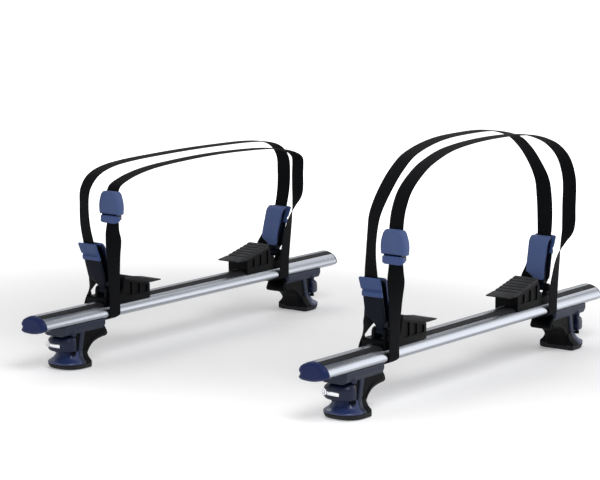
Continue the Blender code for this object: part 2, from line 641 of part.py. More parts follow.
def build_support(name, bar_name, side, bar_y, parts, cutters):
    """Base, saddle rubber, clamping bolt, hinge pin, upright and its rubber."""
    def spot(outboard, across_bar, height):
        return Vector((side * outboard, bar_y + across_bar, height))

    half = SUPPORT_WIDTH / 2
    base_points = [
        (SUPPORT_INNER, SUPPORT_LOW), (SUPPORT_INNER, saddle_top(SUPPORT_INNER)),
        (SADDLE_OUTER, SADDLE_HIGH), (SADDLE_OUTER + 4.5 * MM, SADDLE_HIGH - 3 * MM),
        (SADDLE_OUTER + 9 * MM, DECK_HEIGHT + 9 * MM), (SADDLE_OUTER + 16 * MM, DECK_HEIGHT),
        (SUPPORT_OUTER - 3 * MM, DECK_HEIGHT), (SUPPORT_OUTER, DECK_HEIGHT - 3 * MM),
        (SUPPORT_OUTER, SUPPORT_LOW),
    ]
    base = outline_solid("support_base_" + name, [Vector(point) for point in base_points],
                         SUPPORT_WIDTH, across(side, bar_y), parts)
    bevel(base, 1.5 * MM, 1, 50)
    lug_spans = ((NECK_SIDES[0] - FIT_GAP - LUG_THICKNESS, NECK_SIDES[0] - FIT_GAP),
                 (NECK_SIDES[1] + FIT_GAP, NECK_SIDES[1] + FIT_GAP + LUG_THICKNESS))
    for low, high in lug_spans:
        eye = cylinder("lug_eye_" + name, spot(HINGE_OUT, low, HINGE_HEIGHT),
                       spot(HINGE_OUT, high, HINGE_HEIGHT), LUG_RADIUS, cutters)
        stem_points = [(HINGE_OUT - LUG_RADIUS, HINGE_HEIGHT), (HINGE_OUT + LUG_RADIUS, HINGE_HEIGHT),
                       (HINGE_OUT + LUG_RADIUS + 1 * MM, DECK_HEIGHT - 4 * MM),
                       (HINGE_OUT - LUG_RADIUS - 8 * MM, DECK_HEIGHT - 4 * MM)]
        stem = outline_solid("lug_stem_" + name, [Vector(point) for point in stem_points], high - low,
                             across(side, bar_y + (low + high) / 2), cutters)
        join(eye, stem)
        join(base, eye)
    seat_frame = along_bar(side * (SUPPORT_INNER + SUPPORT_OUTER) / 2, bar_y, BAR_UNDERSIDE)
    seat = outline_solid("support_seat_" + name, bar_outline(FIT_GAP + STRIP_PROUD, False),
                         3 * SUPPORT_LENGTH, seat_frame, cutters)
    pin_bore = cylinder("pin_bore_" + name, spot(HINGE_OUT, -40 * MM, HINGE_HEIGHT),
                        spot(HINGE_OUT, 40 * MM, HINGE_HEIGHT), PIN_RADIUS + PIN_CLEARANCE, cutters)
    bore_top = spot(BOLT_OUT, SLOT_OFFSET, SADDLE_HIGH + 17 * MM)
    bolt_bore = cylinder("bolt_bore_" + name, spot(BOLT_OUT, SLOT_OFFSET, BAR_UNDERSIDE + 7 * MM), bore_top,
                         BOLT_RADIUS + PIN_CLEARANCE, cutters, 10)
    nut_bore = cylinder("nut_bore_" + name, spot(BOLT_OUT, SLOT_OFFSET, NUT_SEAT), bore_top,
                        NUT_RADIUS + 3 * MM, cutters, 8)
    cut(base, seat, pin_bore, bolt_bore, nut_bore)
    pocket_depth = 2.4 * MM
    pocket_low = DECK_HEIGHT - 4 * MM
    pocket_step = (SADDLE_LENGTH - 5 * MM) / 3
    for index in range(3):
        inner = SUPPORT_INNER + 8 * MM + index * pocket_step
        outer = inner + pocket_step - 6 * MM
        pocket_points = [(inner, pocket_low), (outer, pocket_low), (outer, saddle_top(outer) - 5 * MM),
                         (inner, saddle_top(inner) - 5 * MM)]
        for end in (-1, 1):
            pocket_middle = bar_y + end * (half + 10 * MM - pocket_depth)
            pocket = outline_solid("flank_pocket_" + name, [Vector(point) for point in pocket_points],
                                   20 * MM, across(side, pocket_middle), cutters)
            cut(base, pocket)
    dress(base, "foot_plastic", 30)

    pad = outline_solid("saddle_pad_" + name, saddle_pad_points(), SUPPORT_WIDTH, across(side, bar_y), parts)
    dress(pad, "black_rubber", 25)

    head_top = BAR_UNDERSIDE + SLOT_POCKET_CEILING - FIT_GAP
    bolt = block("clamp_bolt_" + name,
                 spot(BOLT_OUT - BOLT_HEAD / 2, SLOT_OFFSET - BOLT_HEAD / 2, head_top - BOLT_HEAD_THICKNESS),
                 spot(BOLT_OUT + BOLT_HEAD / 2, SLOT_OFFSET + BOLT_HEAD / 2, head_top), parts)
    nut_low = NUT_SEAT + FIT_GAP
    shank = cylinder("bolt_shank_" + name, spot(BOLT_OUT, SLOT_OFFSET, head_top - 1 * MM),
                     spot(BOLT_OUT, SLOT_OFFSET, nut_low + NUT_THICKNESS + 2 * MM), BOLT_RADIUS, cutters, 10)
    nut = cylinder("bolt_nut_" + name, spot(BOLT_OUT, SLOT_OFFSET, nut_low),
                   spot(BOLT_OUT, SLOT_OFFSET, nut_low + NUT_THICKNESS), NUT_RADIUS, cutters, 6)
    join(bolt, shank, nut)
    dress(bolt, "zinc_steel")

    hinge_point = spot(HINGE_OUT, 0, HINGE_HEIGHT)
    head_end = lug_spans[0][0] - FIT_GAP
    tail_start = lug_spans[1][1] + FIT_GAP
    pin = cylinder("hinge_pin_" + name, spot(HINGE_OUT, head_end - PIN_HEAD_LENGTH, HINGE_HEIGHT),
                   spot(HINGE_OUT, head_end, HINGE_HEIGHT), PIN_HEAD_RADIUS, parts, 16, hinge_point)
    pin_shank = cylinder("pin_shank_" + name, spot(HINGE_OUT, head_end - 1 * MM, HINGE_HEIGHT),
                         spot(HINGE_OUT, tail_start + 1 * MM, HINGE_HEIGHT), PIN_RADIUS, cutters)
    pin_tail = cylinder("pin_tail_" + name, spot(HINGE_OUT, tail_start, HINGE_HEIGHT),
                        spot(HINGE_OUT, tail_start + 1.6 * MM, HINGE_HEIGHT), PIN_RADIUS + 1.4 * MM, cutters)
    join(pin, pin_shank, pin_tail)
    dress(pin, "slate_plastic")

    build_upright(name, side, bar_y, LEAN_DEGREES[bar_name], parts, cutters)


def lip_points():
    """Side view of the outer panel with its ridge and flared lip (outboard, height over the pin)."""
    inner = PANEL_FACE - PANEL_THICKNESS
    ridge = PANEL_FACE + 2 * MM
    lip_out = PANEL_FACE + LIP_FLARE
    return [
        (PANEL_FACE, 8 * MM), (PANEL_FACE, RIDGE_LOW - 1 * MM), (ridge, RIDGE_LOW), (ridge, RIDGE_HIGH),
        (PANEL_FACE, RIDGE_HIGH + 1 * MM), (PANEL_FACE, RIDGE_HIGH + 3.5 * MM),
        (PANEL_FACE + 1.8 * MM, RIDGE_HIGH + 5 * MM), (lip_out, LIP_HEIGHT - 1.5 * MM),
        (lip_out - 1.5 * MM, LIP_HEIGHT), (lip_out - 3 * MM, LIP_HEIGHT - 0.5 * MM),
        (inner + 2.6 * MM, RIDGE_HIGH + 8 * MM), (inner, RIDGE_LOW), (inner, 8 * MM),
    ]


def build_upright(name, side, bar_y, lean, parts, cutters):
    """The tilting upright: outer panel with flared lip, curved arm, one-sided neck and a rubber facing.

    It is drawn standing straight over the hinge pin and then leaned outboard about the pin.
    """
    hinge_point = Vector((side * HINGE_OUT, bar_y, HINGE_HEIGHT))
    turn = Matrix.Rotation(math.radians(side * lean), 4, "Y")

    def frame(middle):
        local = Matrix(((side, 0, 0, 0), (0, 0, 1, middle), (0, 1, 0, 0), (0, 0, 0, 1)))
        return Matrix.Translation(hinge_point) @ turn @ local

    def front_frame():
        local = Matrix(((0, 0, side, -side * 5 * MM), (1, 0, 0, 0), (0, 1, 0, 0), (0, 0, 0, 1)))
        return Matrix.Translation(hinge_point) @ turn @ local

    panel = outline_solid("upright_" + name, [Vector(point) for point in lip_points()], UPRIGHT_WIDTH,
                          frame(0), parts, hinge_point)
    bevel(panel, 0.8 * MM, 1, 50)
    face = catmull_rom([Vector(point) * MM for point in ARM_FACE_POINTS], False, 2)
    arm_outer = offset_path(face, -(PAD_THICKNESS + FIT_GAP), False)
    arm_inner = offset_path(face, -(PAD_THICKNESS + FIT_GAP + ARM_THICKNESS), False)
    arm = outline_solid("upright_arm_" + name, arm_outer + arm_inner[::-1], PAD_WIDTH, frame(0), cutters)
    neck_middle = (NECK_SIDES[0] + NECK_SIDES[1]) / 2
    neck_width = NECK_SIDES[1] - NECK_SIDES[0]
    panel_side = PANEL_FACE / MM - 0.4
    neck_points = [(-11.5, 10), (-10.5, 24), (-7, 22), (-3, 15), (0.6, 22), (1.2, 36), (panel_side, 36),
                   (panel_side, 2), (-2, -3)]
    neck = outline_solid("upright_neck_" + name, [Vector(point) * MM for point in neck_points], neck_width,
                         frame(neck_middle), cutters)
    barrel = cylinder("upright_barrel_" + name, hinge_point + Vector((0, NECK_SIDES[0], 0)),
                      hinge_point + Vector((0, NECK_SIDES[1], 0)), BARREL_RADIUS, cutters)
    bore = cylinder("upright_bore_" + name, hinge_point - Vector((0, 40 * MM, 0)),
                    hinge_point + Vector((0, 40 * MM, 0)), PIN_RADIUS + PIN_CLEARANCE, cutters)
    open_side = [(60, -30), (NECK_SIDES[1] / MM, -30), (NECK_SIDES[1] / MM, 12), (3.5, 19), (8, 24),
                 (15, 27.5), (23, 29.5), (60, 33)]
    strap_side = [(-60, -30), (NECK_SIDES[0] / MM, -30), (NECK_SIDES[0] / MM, 10), (-20, 18), (-25, 24),
                  (-60, 30)]
    reliefs = [outline_solid("upright_relief_" + name, [Vector(point) * MM for point in points], 70 * MM,
                             front_frame(), cutters) for points in (open_side, strap_side)]
    cut(panel, reliefs[0], reliefs[1])
    cut(arm, reliefs[0], reliefs[1])
    join(panel, arm, neck, barrel)
    cut(panel, bore)
    dress(panel, "slate_plastic", 30)

    pad_inner = offset_path(face, -PAD_THICKNESS, False)
    pad = outline_solid("upright_pad_" + name, face + pad_inner[::-1], PAD_WIDTH, frame(0), parts,
                        hinge_point)
    cut(pad, *reliefs)
    dress(pad, "slate_rubber", 30)


def slot_stations(lean):
    """Strap stations from the bar's rear face up through the upright's channel and slot.

    Each is (x, side of bar, height, angle of the strap's width from +X), for the left side.
    """
    stations = [(-STRAP_OUT, 36.2 * MM, BAR_UNDERSIDE + 21 * MM, 0),
                (-STRAP_OUT, 35.4 * MM, BAR_UNDERSIDE + 37 * MM, 8),
                (-STRAP_OUT, 32 * MM, HINGE_HEIGHT - 7 * MM, 22),
                (-STRAP_OUT - 0.5 * MM, 26.5 * MM, HINGE_HEIGHT + 7 * MM, 48)]
    turn = math.radians(lean)
    for outboard, across_bar, height, angle in ((-5.0, 20.5, 22, 78), (-5.8, 15, 38, 84), (-5.8, 9, 60, 86),
                                                (-4.2, 3.5, 82, 87), (1.1, 0.6, 98, 86), (2.4, 0, 107, 86)):
        out = outboard * math.cos(turn) + height * math.sin(turn)
        up = height * math.cos(turn) - outboard * math.sin(turn)
        stations.append((-HINGE_OUT - out * MM, across_bar * MM, HINGE_HEIGHT + up * MM, angle))
    return stations


# Over the load, left half: (x, side of bar, height, angle) in millimetres and degrees
REAR_RUN_POINTS = {
    "front": ((-303, 0, 290, 80), (-299.5, 0, 328, 76), (-290, 0, 366, 80), (-259, 0, 407, 88),
              (-222, 0, 441, 90), (-179, 0, 466, 90), (-96, 0, 484, 90), (0, 0, 488, 90)),
    "rear": ((-324, 0, 285, 82), (-326, 0, 325, 78), (-322, 0, 356, 82), (-300, 0, 381, 88),
             (-262, 0, 395, 90), (-200, 0, 402, 90), (-100, 0, 405, 90), (0, 0, 406, 90)),
}
FRONT_RUN_POINTS = {
    "front": ((-283, -36.5, 112, 0), (-283, -37.5, 140, 0), (-284, -39, 168, -5), (-287, -43, 213, -20),
              (-294, -49, 242, -45), (-301, -54.5, 265, -76), (-303, -57, 284, -90)),
    "rear": ((-283, -36.5, 112, 0), (-284, -37.5, 140, 0), (-286, -40, 175, -5), (-290, -45, 222, -20),
             (-296, -51, 252, -48), (-302, -55, 274, -78), (-303, -57, 294, -90)),
}
OVER_BUCKLE_POINTS = {
    "front": ((-302.5, -58, 356, -90), (-297, -58.5, 380, -90), (-280, -59, 411, -90), (-251, -60, 436, -90),
              (-210, -60, 457, -90), (-134, -60, 476, -90), (0, -60, 483, -90)),
    "rear": ((-302.5, -58, 357, -90), (-296, -58, 366, -90), (-280, -59, 374, -90), (-245, -60, 384, -90),
             (-190, -60, 392, -90), (-100, -60, 397, -90), (0, -60, 399, -90)),
}


def mirrored(stations):
    """The right half's stations from the left half's, in the opposite order."""
    return [(-x, side, height, 180 - angle) for x, side, height, angle in reversed(stations)]


def wrap_stations():
    """Round the bar's underside from its nose to its tail, just outside its outline."""
    reach = STRAP_THICKNESS / 2 + 3 * FIT_GAP
    lower = [point for point in bar_outline(reach, False) if point.y < BAR_NOSE_HEIGHT]
    lower.sort(key=lambda point: point.x)
    return [(-STRAP_OUT, point.x, BAR_UNDERSIDE + point.y, 0) for point in lower]


def strap_stations(bar_name):
    """The whole strap: down from its buckle, under the bar, over the load and back, ending at the buckle."""
    scale = (MM, MM, MM, 1)
    scaled = {key: [tuple(value * unit for value, unit in zip(point, scale)) for point in table[bar_name]]
              for key, table in (("rear", REAR_RUN_POINTS), ("front", FRONT_RUN_POINTS),
                                 ("over", OVER_BUCKLE_POINTS))}
    buckle = BUCKLE_HEIGHT[bar_name]
    down = [(-BUCKLE_OUT, BUCKLE_SIDE, buckle + 14 * MM, -90),
            (-BUCKLE_OUT, BUCKLE_SIDE, buckle - 22 * MM, -90)] + scaled["front"][::-1]
    left = down + wrap_stations() + slot_stations(LEAN_DEGREES[bar_name]) + scaled["rear"]
    right_rear = mirrored(slot_stations(LEAN_DEGREES[bar_name]) + scaled["rear"][:-1])
    right_wrap = mirrored(wrap_stations())
    right_up = [(-x, side, height, 180 - angle) for x, side, height, angle in
                scaled["front"] + [(-BUCKLE_OUT, BUCKLE_SIDE, buckle, -90)] + scaled["over"][:-1]]
    back = [(x, side, height, angle + 360) for x, side, height, angle in scaled["over"][::-1]]
    end = [(-BUCKLE_OUT, BUCKLE_SIDE, buckle + 24.5 * MM, 270)]
    return left + right_rear + right_wrap + right_up + back + end


def strap_path(stations):
    """Evenly spaced points and width angles on a smooth curve through the stations."""
    count = len(stations)
    knots = [0.0]
    for before, after in zip(stations, stations[1:]):
        gap = (Vector(after[:3]) - Vector(before[:3])).length
        knots.append(knots[-1] + gap)

    def slope(index, part):
        low = max(index - 1, 0)
        high = min(index + 1, count - 1)
        return (stations[high][part] - stations[low][part]) / (knots[high] - knots[low])

    result = []
    for index in range(count - 1):
        span = knots[index + 1] - knots[index]
        steps = max(1, round(span / STRAP_STEP))
        for step in range(steps):
            t = step / steps
            row = []
            for part in range(4):
                p0 = stations[index][part]
                p1 = stations[index + 1][part]
                m0 = slope(index, part) * span
                m1 = slope(index + 1, part) * span
                row.append((2 * t ** 3 - 3 * t ** 2 + 1) * p0 + (t ** 3 - 2 * t ** 2 + t) * m0
                           + (3 * t ** 2 - 2 * t ** 3) * p1 + (t ** 3 - t ** 2) * m1)
            result.append(row)
    result.append(list(stations[-1]))
    return result


def build_strap(bar_name, bar_y, parts):
    """Flat webbing lofted along its path, each section square to the path."""
    rows = strap_path(strap_stations(bar_name))
    points = [Vector((row[0], bar_y + row[1], row[2])) for row in rows]
    rings = []
    for index, row in enumerate(rows):
        ahead = points[min(index + 1, len(rows) - 1)]
        behind = points[max(index - 1, 0)]
        along = (ahead - behind).normalized()
        angle = math.radians(row[3])
        wide = Vector((math.cos(angle), math.sin(angle), 0))
        wide = (wide - wide.dot(along) * along).normalized()
        thick = along.cross(wide)
        half_wide = wide * STRAP_WIDTH / 2
        half_thick = thick * STRAP_THICKNESS / 2
        middle = points[index]
        rings.append([middle - half_wide - half_thick, middle + half_wide - half_thick,
                      middle + half_wide + half_thick, middle - half_wide + half_thick])
    strap = loft("strap_" + bar_name, rings, parts)
    dress(strap, "webbing", 40)


def build_buckle(bar_name, bar_y, parts, cutters):
    """Cam buckle on the left run: steel frame, spring-loaded lever and a rubber bumper over them."""
    height = BUCKLE_HEIGHT[bar_name]
    middle = bar_y + BUCKLE_SIDE

    def spot(outboard, sideways, up):
        return Vector((-BUCKLE_OUT - outboard, middle + sideways, height + up))

    plate_face = -(STRAP_THICKNESS / 2 + FIT_GAP)
    half_frame = FRAME_WIDTH / 2
    frame = block("buckle_frame_" + bar_name, spot(plate_face - FRAME_SHEET, -half_frame, -FRAME_HEIGHT / 2),
                  spot(plate_face, half_frame, FRAME_HEIGHT / 2 - 1 * MM), parts)
    cheek_points = [(plate_face - FRAME_SHEET, -FRAME_HEIGHT / 2),
                    (CAM_OUT - 2 * MM, -FRAME_HEIGHT / 2 - 1 * MM),
                    (CAM_OUT + 3.4 * MM, CAM_HEIGHT - 1 * MM), (CAM_OUT + 3.4 * MM, CAM_HEIGHT + 4 * MM),
                    (6.5 * MM, FRAME_HEIGHT / 2 - 5 * MM), (4 * MM, FRAME_HEIGHT / 2 - 1 * MM),
                    (plate_face - FRAME_SHEET, FRAME_HEIGHT / 2 - 1 * MM)]
    for end in (-1, 1):
        place_at = Matrix(((-1, 0, 0, -BUCKLE_OUT), (0, 0, 1, middle + end * (half_frame - FRAME_SHEET / 2)),
                           (0, 1, 0, height), (0, 0, 0, 1)))
        cheek = outline_solid("buckle_cheek", [Vector(point) for point in cheek_points], FRAME_SHEET,
                              place_at, cutters)
        join(frame, cheek)
    pin_bore = cylinder("cam_bore", spot(CAM_OUT, -40 * MM, CAM_HEIGHT), spot(CAM_OUT, 40 * MM, CAM_HEIGHT),
                        CAM_PIN_RADIUS + PIN_CLEARANCE, cutters, 16)
    cut(frame, pin_bore)
    cross = cylinder("buckle_cross_bar", spot(3.2 * MM, -half_frame + 0.5 * MM, 19 * MM),
                     spot(3.2 * MM, half_frame - 0.5 * MM, 19 * MM), 1.7 * MM, cutters, 12)
    join(frame, cross)
    dress(frame, "zinc_steel")

    pivot = spot(CAM_OUT, 0, CAM_HEIGHT)
    cam_half = half_frame - FRAME_SHEET - FIT_GAP
    lever = cylinder("cam_lever_" + bar_name, spot(CAM_OUT, -cam_half, CAM_HEIGHT),
                     spot(CAM_OUT, cam_half, CAM_HEIGHT), CAM_RADIUS, parts, 24, pivot)
    lever_pin = cylinder("cam_pin", spot(CAM_OUT, -half_frame - 0.4 * MM, CAM_HEIGHT),
                         spot(CAM_OUT, half_frame + 0.4 * MM, CAM_HEIGHT), CAM_PIN_RADIUS, cutters, 16)
    tab_points = [(CAM_OUT - 2 * MM, CAM_HEIGHT - 3 * MM), (CAM_OUT - 3 * MM, -BUMPER_HEIGHT / 2 + 2 * MM),
                  (CAM_OUT, -BUMPER_HEIGHT / 2), (BUMPER_DEPTH - 1.5 * MM, -BUMPER_HEIGHT / 2 + 1 * MM),
                  (BUMPER_DEPTH, -BUMPER_HEIGHT / 2 + 4 * MM), (BUMPER_DEPTH, CAM_HEIGHT - 2 * MM),
                  (CAM_OUT + 3.5 * MM, CAM_HEIGHT + 2.5 * MM)]
    tab_place = Matrix(((-1, 0, 0, -BUCKLE_OUT), (0, 0, 1, middle), (0, 1, 0, height), (0, 0, 0, 1)))
    stem = outline_solid("cam_stem", [Vector(point) for point in tab_points], 2 * cam_half, tab_place,
                         cutters)
    wide_points = [point for point in tab_points[1:5]]
    wide_points += [(BUMPER_DEPTH, CAM_HEIGHT - 6.4 * MM), (CAM_OUT - 3 * MM, CAM_HEIGHT - 6.4 * MM)]
    wide = outline_solid("cam_tab", [Vector(point) for point in wide_points], TAB_WIDTH, tab_place, cutters)
    join(lever, lever_pin, stem, wide)
    dress(lever, "slate_plastic", 30)

    half_height = BUMPER_HEIGHT / 2
    outline = [(-BUMPER_WIDTH / 2 + 2 * MM, WINDOW_TOP + 1 * MM), (-BUMPER_WIDTH / 2, 2 * MM),
               (-BUMPER_WIDTH / 2 + 1.5 * MM, 14 * MM),
               (-BUMPER_TOP_WIDTH / 2 - 1 * MM, half_height - 5 * MM),
               (-BUMPER_TOP_WIDTH / 2 + 4 * MM, half_height), (BUMPER_TOP_WIDTH / 2 - 4 * MM, half_height),
               (BUMPER_TOP_WIDTH / 2 + 1 * MM, half_height - 5 * MM), (BUMPER_WIDTH / 2 - 1.5 * MM, 14 * MM),
               (BUMPER_WIDTH / 2, 2 * MM), (BUMPER_WIDTH / 2 - 2 * MM, WINDOW_TOP + 1 * MM),
               (BUMPER_WIDTH / 2 - 3 * MM, WINDOW_TOP), (-BUMPER_WIDTH / 2 + 3 * MM, WINDOW_TOP)]
    face_place = Matrix(((0, 0, 1, -BUCKLE_OUT - (BUMPER_DEPTH - BUMPER_BACK) / 2), (1, 0, 0, middle),
                         (0, 1, 0, height), (0, 0, 0, 1)))
    bumper = outline_solid("buckle_bumper_" + bar_name, [Vector(point) for point in outline],
                           BUMPER_DEPTH + BUMPER_BACK, face_place, parts)
    bevel(bumper, 2.4 * MM, 2, 50)
    half_hollow = half_frame + 1.2 * MM
    hollow = block("bumper_hollow", spot(-20 * MM, -half_hollow, -60 * MM),
                   spot(BUMPER_DEPTH - BUMPER_WALL, half_hollow, FRAME_HEIGHT / 2 + 0.5 * MM), cutters)
    strap_way = block("bumper_strap_way", spot(-20 * MM, -STRAP_WIDTH / 2 - 1 * MM, 0),
                      spot(STRAP_THICKNESS / 2 + 0.6 * MM, STRAP_WIDTH / 2 + 1 * MM, 60 * MM), cutters)
    cut(bumper, hollow, strap_way)
    dress(bumper, "slate_rubber", 35)


def main():
    clear_scene()
    parts = new_collection("roof_carrier")
    cutters = new_collection("cutters")
    for bar_name, bar_side in BARS.items():
        bar_y = BARS_MIDDLE_Y + bar_side * BAR_SPACING / 2
        build_bar(bar_name, bar_y, parts, cutters)
        for side_name, side in SIDES.items():
            name = bar_name + "_" + side_name
            build_end_cap(name, side, bar_y, parts, cutters)
            build_foot(name, side, bar_y, parts, cutters)
            build_support(name, bar_name, side, bar_y, parts, cutters)
        build_strap(bar_name, bar_y, parts)
        build_buckle(bar_name, bar_y, parts, cutters)


main()
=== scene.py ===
# Looks of a roof-mounted carrier: two cross bars on clamp feet, tilting supports and tie-down straps
import json
import math

import bmesh
import bpy
import numpy as np
from mathutils import Matrix, Vector


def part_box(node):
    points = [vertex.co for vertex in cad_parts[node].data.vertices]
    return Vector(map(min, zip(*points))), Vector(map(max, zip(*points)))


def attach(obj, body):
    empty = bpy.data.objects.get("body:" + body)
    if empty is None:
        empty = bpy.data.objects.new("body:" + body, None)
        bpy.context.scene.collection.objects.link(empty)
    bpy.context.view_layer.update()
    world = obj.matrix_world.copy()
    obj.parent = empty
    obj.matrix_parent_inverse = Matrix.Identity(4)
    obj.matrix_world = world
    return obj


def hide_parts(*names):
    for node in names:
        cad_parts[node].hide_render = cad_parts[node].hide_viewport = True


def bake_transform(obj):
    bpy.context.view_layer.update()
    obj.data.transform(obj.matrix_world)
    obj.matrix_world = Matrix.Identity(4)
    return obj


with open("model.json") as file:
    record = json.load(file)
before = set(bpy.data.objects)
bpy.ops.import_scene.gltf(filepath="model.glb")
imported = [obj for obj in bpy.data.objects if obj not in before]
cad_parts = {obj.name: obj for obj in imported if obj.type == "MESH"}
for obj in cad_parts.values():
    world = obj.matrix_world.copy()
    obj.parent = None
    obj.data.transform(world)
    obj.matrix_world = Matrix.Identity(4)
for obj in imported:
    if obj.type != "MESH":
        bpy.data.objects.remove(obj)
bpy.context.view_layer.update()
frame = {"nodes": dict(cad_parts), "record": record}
print("frame loaded")

# shared measures; lengths are millimetres until mm turns them into metres
mm = 0.001
slotSide = -14.5
sides = {"left": -1.0, "right": 1.0}
barYs = {name: (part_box("bar_strip_" + name)[0].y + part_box("bar_strip_" + name)[1].y) / 2 - slotSide * mm
         for name in ("front", "rear")}
leans = {"front": math.radians(10), "rear": math.radians(17)}
hinge = {"out": 281, "height": 144}


# Small tools shared by the pieces

def toLinear(hexText):
    # sRGB hex to the linear colour that a shader takes
    channels = np.array([int(hexText[i:i + 2], 16) for i in (1, 3, 5)]) / 255
    linear = np.where(channels <= 0.04045, channels / 12.92, ((channels + 0.055) / 1.055) ** 2.4)
    return (*linear.tolist(), 1.0)


def addNode(tree, kind, inputs=None, **settings):
    # one shader node with its settings; an input is a value or another node's (node, output name)
    node = tree.nodes.new("ShaderNode" + kind)
    for name, value in settings.items():
        setattr(node, name, value)
    for name, value in (inputs or {}).items():
        socket = node.inputs[name]
        if isinstance(value, tuple) and isinstance(value[0], bpy.types.Node):
            tree.links.new(value[0].outputs[value[1]], socket)
        else:
            socket.default_value = value
    return node


def newMaterial(name, hexText, roughness, metallic=0.0, specular=0.5):
    # a Principled material; returns it with its tree and shader node
    material = bpy.data.materials.new(name)
    material.use_nodes = True
    tree = material.node_tree
    shader = tree.nodes["Principled BSDF"]
    for socket, value in (("Base Color", toLinear(hexText)), ("Roughness", roughness), ("Metallic", metallic),
                          ("IOR", 1.5), ("Specular IOR Level", specular)):
        shader.inputs[socket].default_value = value
    return material, tree, shader


def linked(name, data):
    # an object for the data, in the scene
    item = bpy.data.objects.new(name, data)
    bpy.context.scene.collection.objects.link(item)
    return item


def smoothCurve(points, steps):
    # Catmull-Rom through the points: each span is a cubic whose end slopes are half the chord past them
    p = np.asarray(points, float)
    index = np.arange(len(p) - 1)
    a, b, c, d = (p[np.clip(index + k, 0, len(p) - 1)][:, None] for k in (-1, 0, 1, 2))
    t = (np.arange(steps) / steps)[None, :, None]
    curve = 0.5 * (2 * b + (c - a) * t + (2 * a - 5 * b + 4 * c - d) * t ** 2
                   + (3 * b - a - 3 * c + d) * t ** 3)
    return np.vstack([curve.reshape(-1, p.shape[1]), p[-1]])


def offsetCurve(points, distance, closed=True):
    # each point moves to the left of the curve's direction by the distance
    ahead, behind = np.roll(points, -1, 0), np.roll(points, 1, 0)
    if not closed:
        ahead[-1], behind[0] = points[-1], points[0]
    along = ahead - behind
    along /= np.linalg.norm(along, axis=1)[:, None]
    return points + distance * np.stack([-along[:, 1], along[:, 0]], 1)


def roundCorners(points, radius, steps=5, closed=True):
    # each corner becomes a quadratic curve that starts and ends a radius away along its two sides
    p = np.asarray(points, float)
    before, after = np.roll(p, 1, 0) - p, np.roll(p, -1, 0) - p
    lengthBefore, lengthAfter = (np.linalg.norm(edge, axis=1)[:, None] for edge in (before, after))
    reach = np.minimum(np.minimum(radius, lengthBefore * 0.48), lengthAfter * 0.48)
    start, end = p + before / lengthBefore * reach, p + after / lengthAfter * reach
    t = np.linspace(0, 1, steps)[None, :, None]
    arcs = (1 - t) ** 2 * start[:, None] + 2 * t * (1 - t) * p[:, None] + t ** 2 * end[:, None]
    if not closed:
        arcs[0], arcs[-1] = p[0], p[-1]
    return arcs.reshape(-1, p.shape[1])


def densify(points, step=1.5):
    # a closed outline with extra points so that none lie further apart than the step
    parts = []
    for start, end in zip(points, np.roll(points, -1, 0)):
        count = max(1, int(np.ceil(np.linalg.norm(end - start) / step)))
        parts.append(start + (end - start) * (np.arange(count) / count)[:, None])
    return np.vstack(parts)


def gridObject(name, grid, wrapped=True, capped=True, uv=None):
    # a surface from a rows x columns array of points: wrapped closes the columns on themselves,
    # and capped closes the first and last rows with one face each
    grid = np.asarray(grid, float)
    rows, columns = grid.shape[:2]
    index = np.arange(rows * columns).reshape(rows, columns)
    low, high = index[:-1], index[1:]
    if wrapped:
        quads = np.stack([low, np.roll(low, -1, 1), np.roll(high, -1, 1), high], -1)
    else:
        quads = np.stack([low[:, :-1], low[:, 1:], high[:, 1:], high[:, :-1]], -1)
    loops, starts = quads.ravel(), np.arange(quads.size // 4) * 4
    if capped:
        starts = np.concatenate([starts, [len(loops), len(loops) + columns]])
        loops = np.concatenate([loops, index[0][::-1], index[-1]])
    mesh = bpy.data.meshes.new(name)
    mesh.vertices.add(rows * columns)
    mesh.vertices.foreach_set("co", grid.ravel())
    mesh.loops.add(len(loops))
    mesh.loops.foreach_set("vertex_index", loops.astype(np.int32))
    mesh.polygons.add(len(starts))
    mesh.polygons.foreach_set("loop_start", starts.astype(np.int32))
    mesh.update(calc_edges=True)
    mesh.validate()
    if uv is not None:
        layer = mesh.uv_layers.new(name="UVMap")
        vertexOf = np.zeros(len(mesh.loops), np.int32)
        mesh.loops.foreach_get("vertex_index", vertexOf)
        layer.data.foreach_set("uv", np.asarray(uv, float).reshape(-1, 2)[vertexOf].ravel())
    return linked(name, mesh)


def acrossBar(a, b, depth):
    # outline as (outboard, height), depth along the part's Y
    return np.stack([a, depth, b], -1)


def alongBar(a, b, depth):
    # outline as (sideways, height), depth along the bar
    return np.stack([depth, a, b], -1)


def ringAt(outline, depth, toWorld):
    # an outline's points in space, at one depth or a depth for each
    return toWorld(outline[:, 0], outline[:, 1], np.broadcast_to(depth, len(outline)))


def sweepOutline(name, outline, ends, toWorld):
    # a closed outline carried straight between the given depths
    outline = np.asarray(outline, float)
    return gridObject(name, np.stack([ringAt(outline, depth, toWorld) for depth in ends]))


def quarterRim(outline, ease, steps=4):
    # depths and insets of the rings that round a rim by a quarter circle; an inset leads into the outline
    after = np.roll(outline, -1, 0)
    area = np.sum(outline[:, 0] * after[:, 1] - after[:, 0] * outline[:, 1])
    turn = np.linspace(0, math.pi / 2, steps)
    return ease * (1 - np.cos(turn)), math.copysign(ease, area) * (1 - np.sin(turn))


def easedSweep(name, outline, low, high, ease):
    # a closed outline carried across the bar from low to high, both rims rounded by a quarter circle
    outline = np.asarray(outline, float)
    depth, inset = quarterRim(outline, ease)
    places = [*(low + depth), *(high - depth[::-1])]
    return gridObject(name, np.stack([ringAt(offsetCurve(outline, pull), place, acrossBar)
                                      for place, pull in zip(places, [*inset, *inset[::-1]])]))


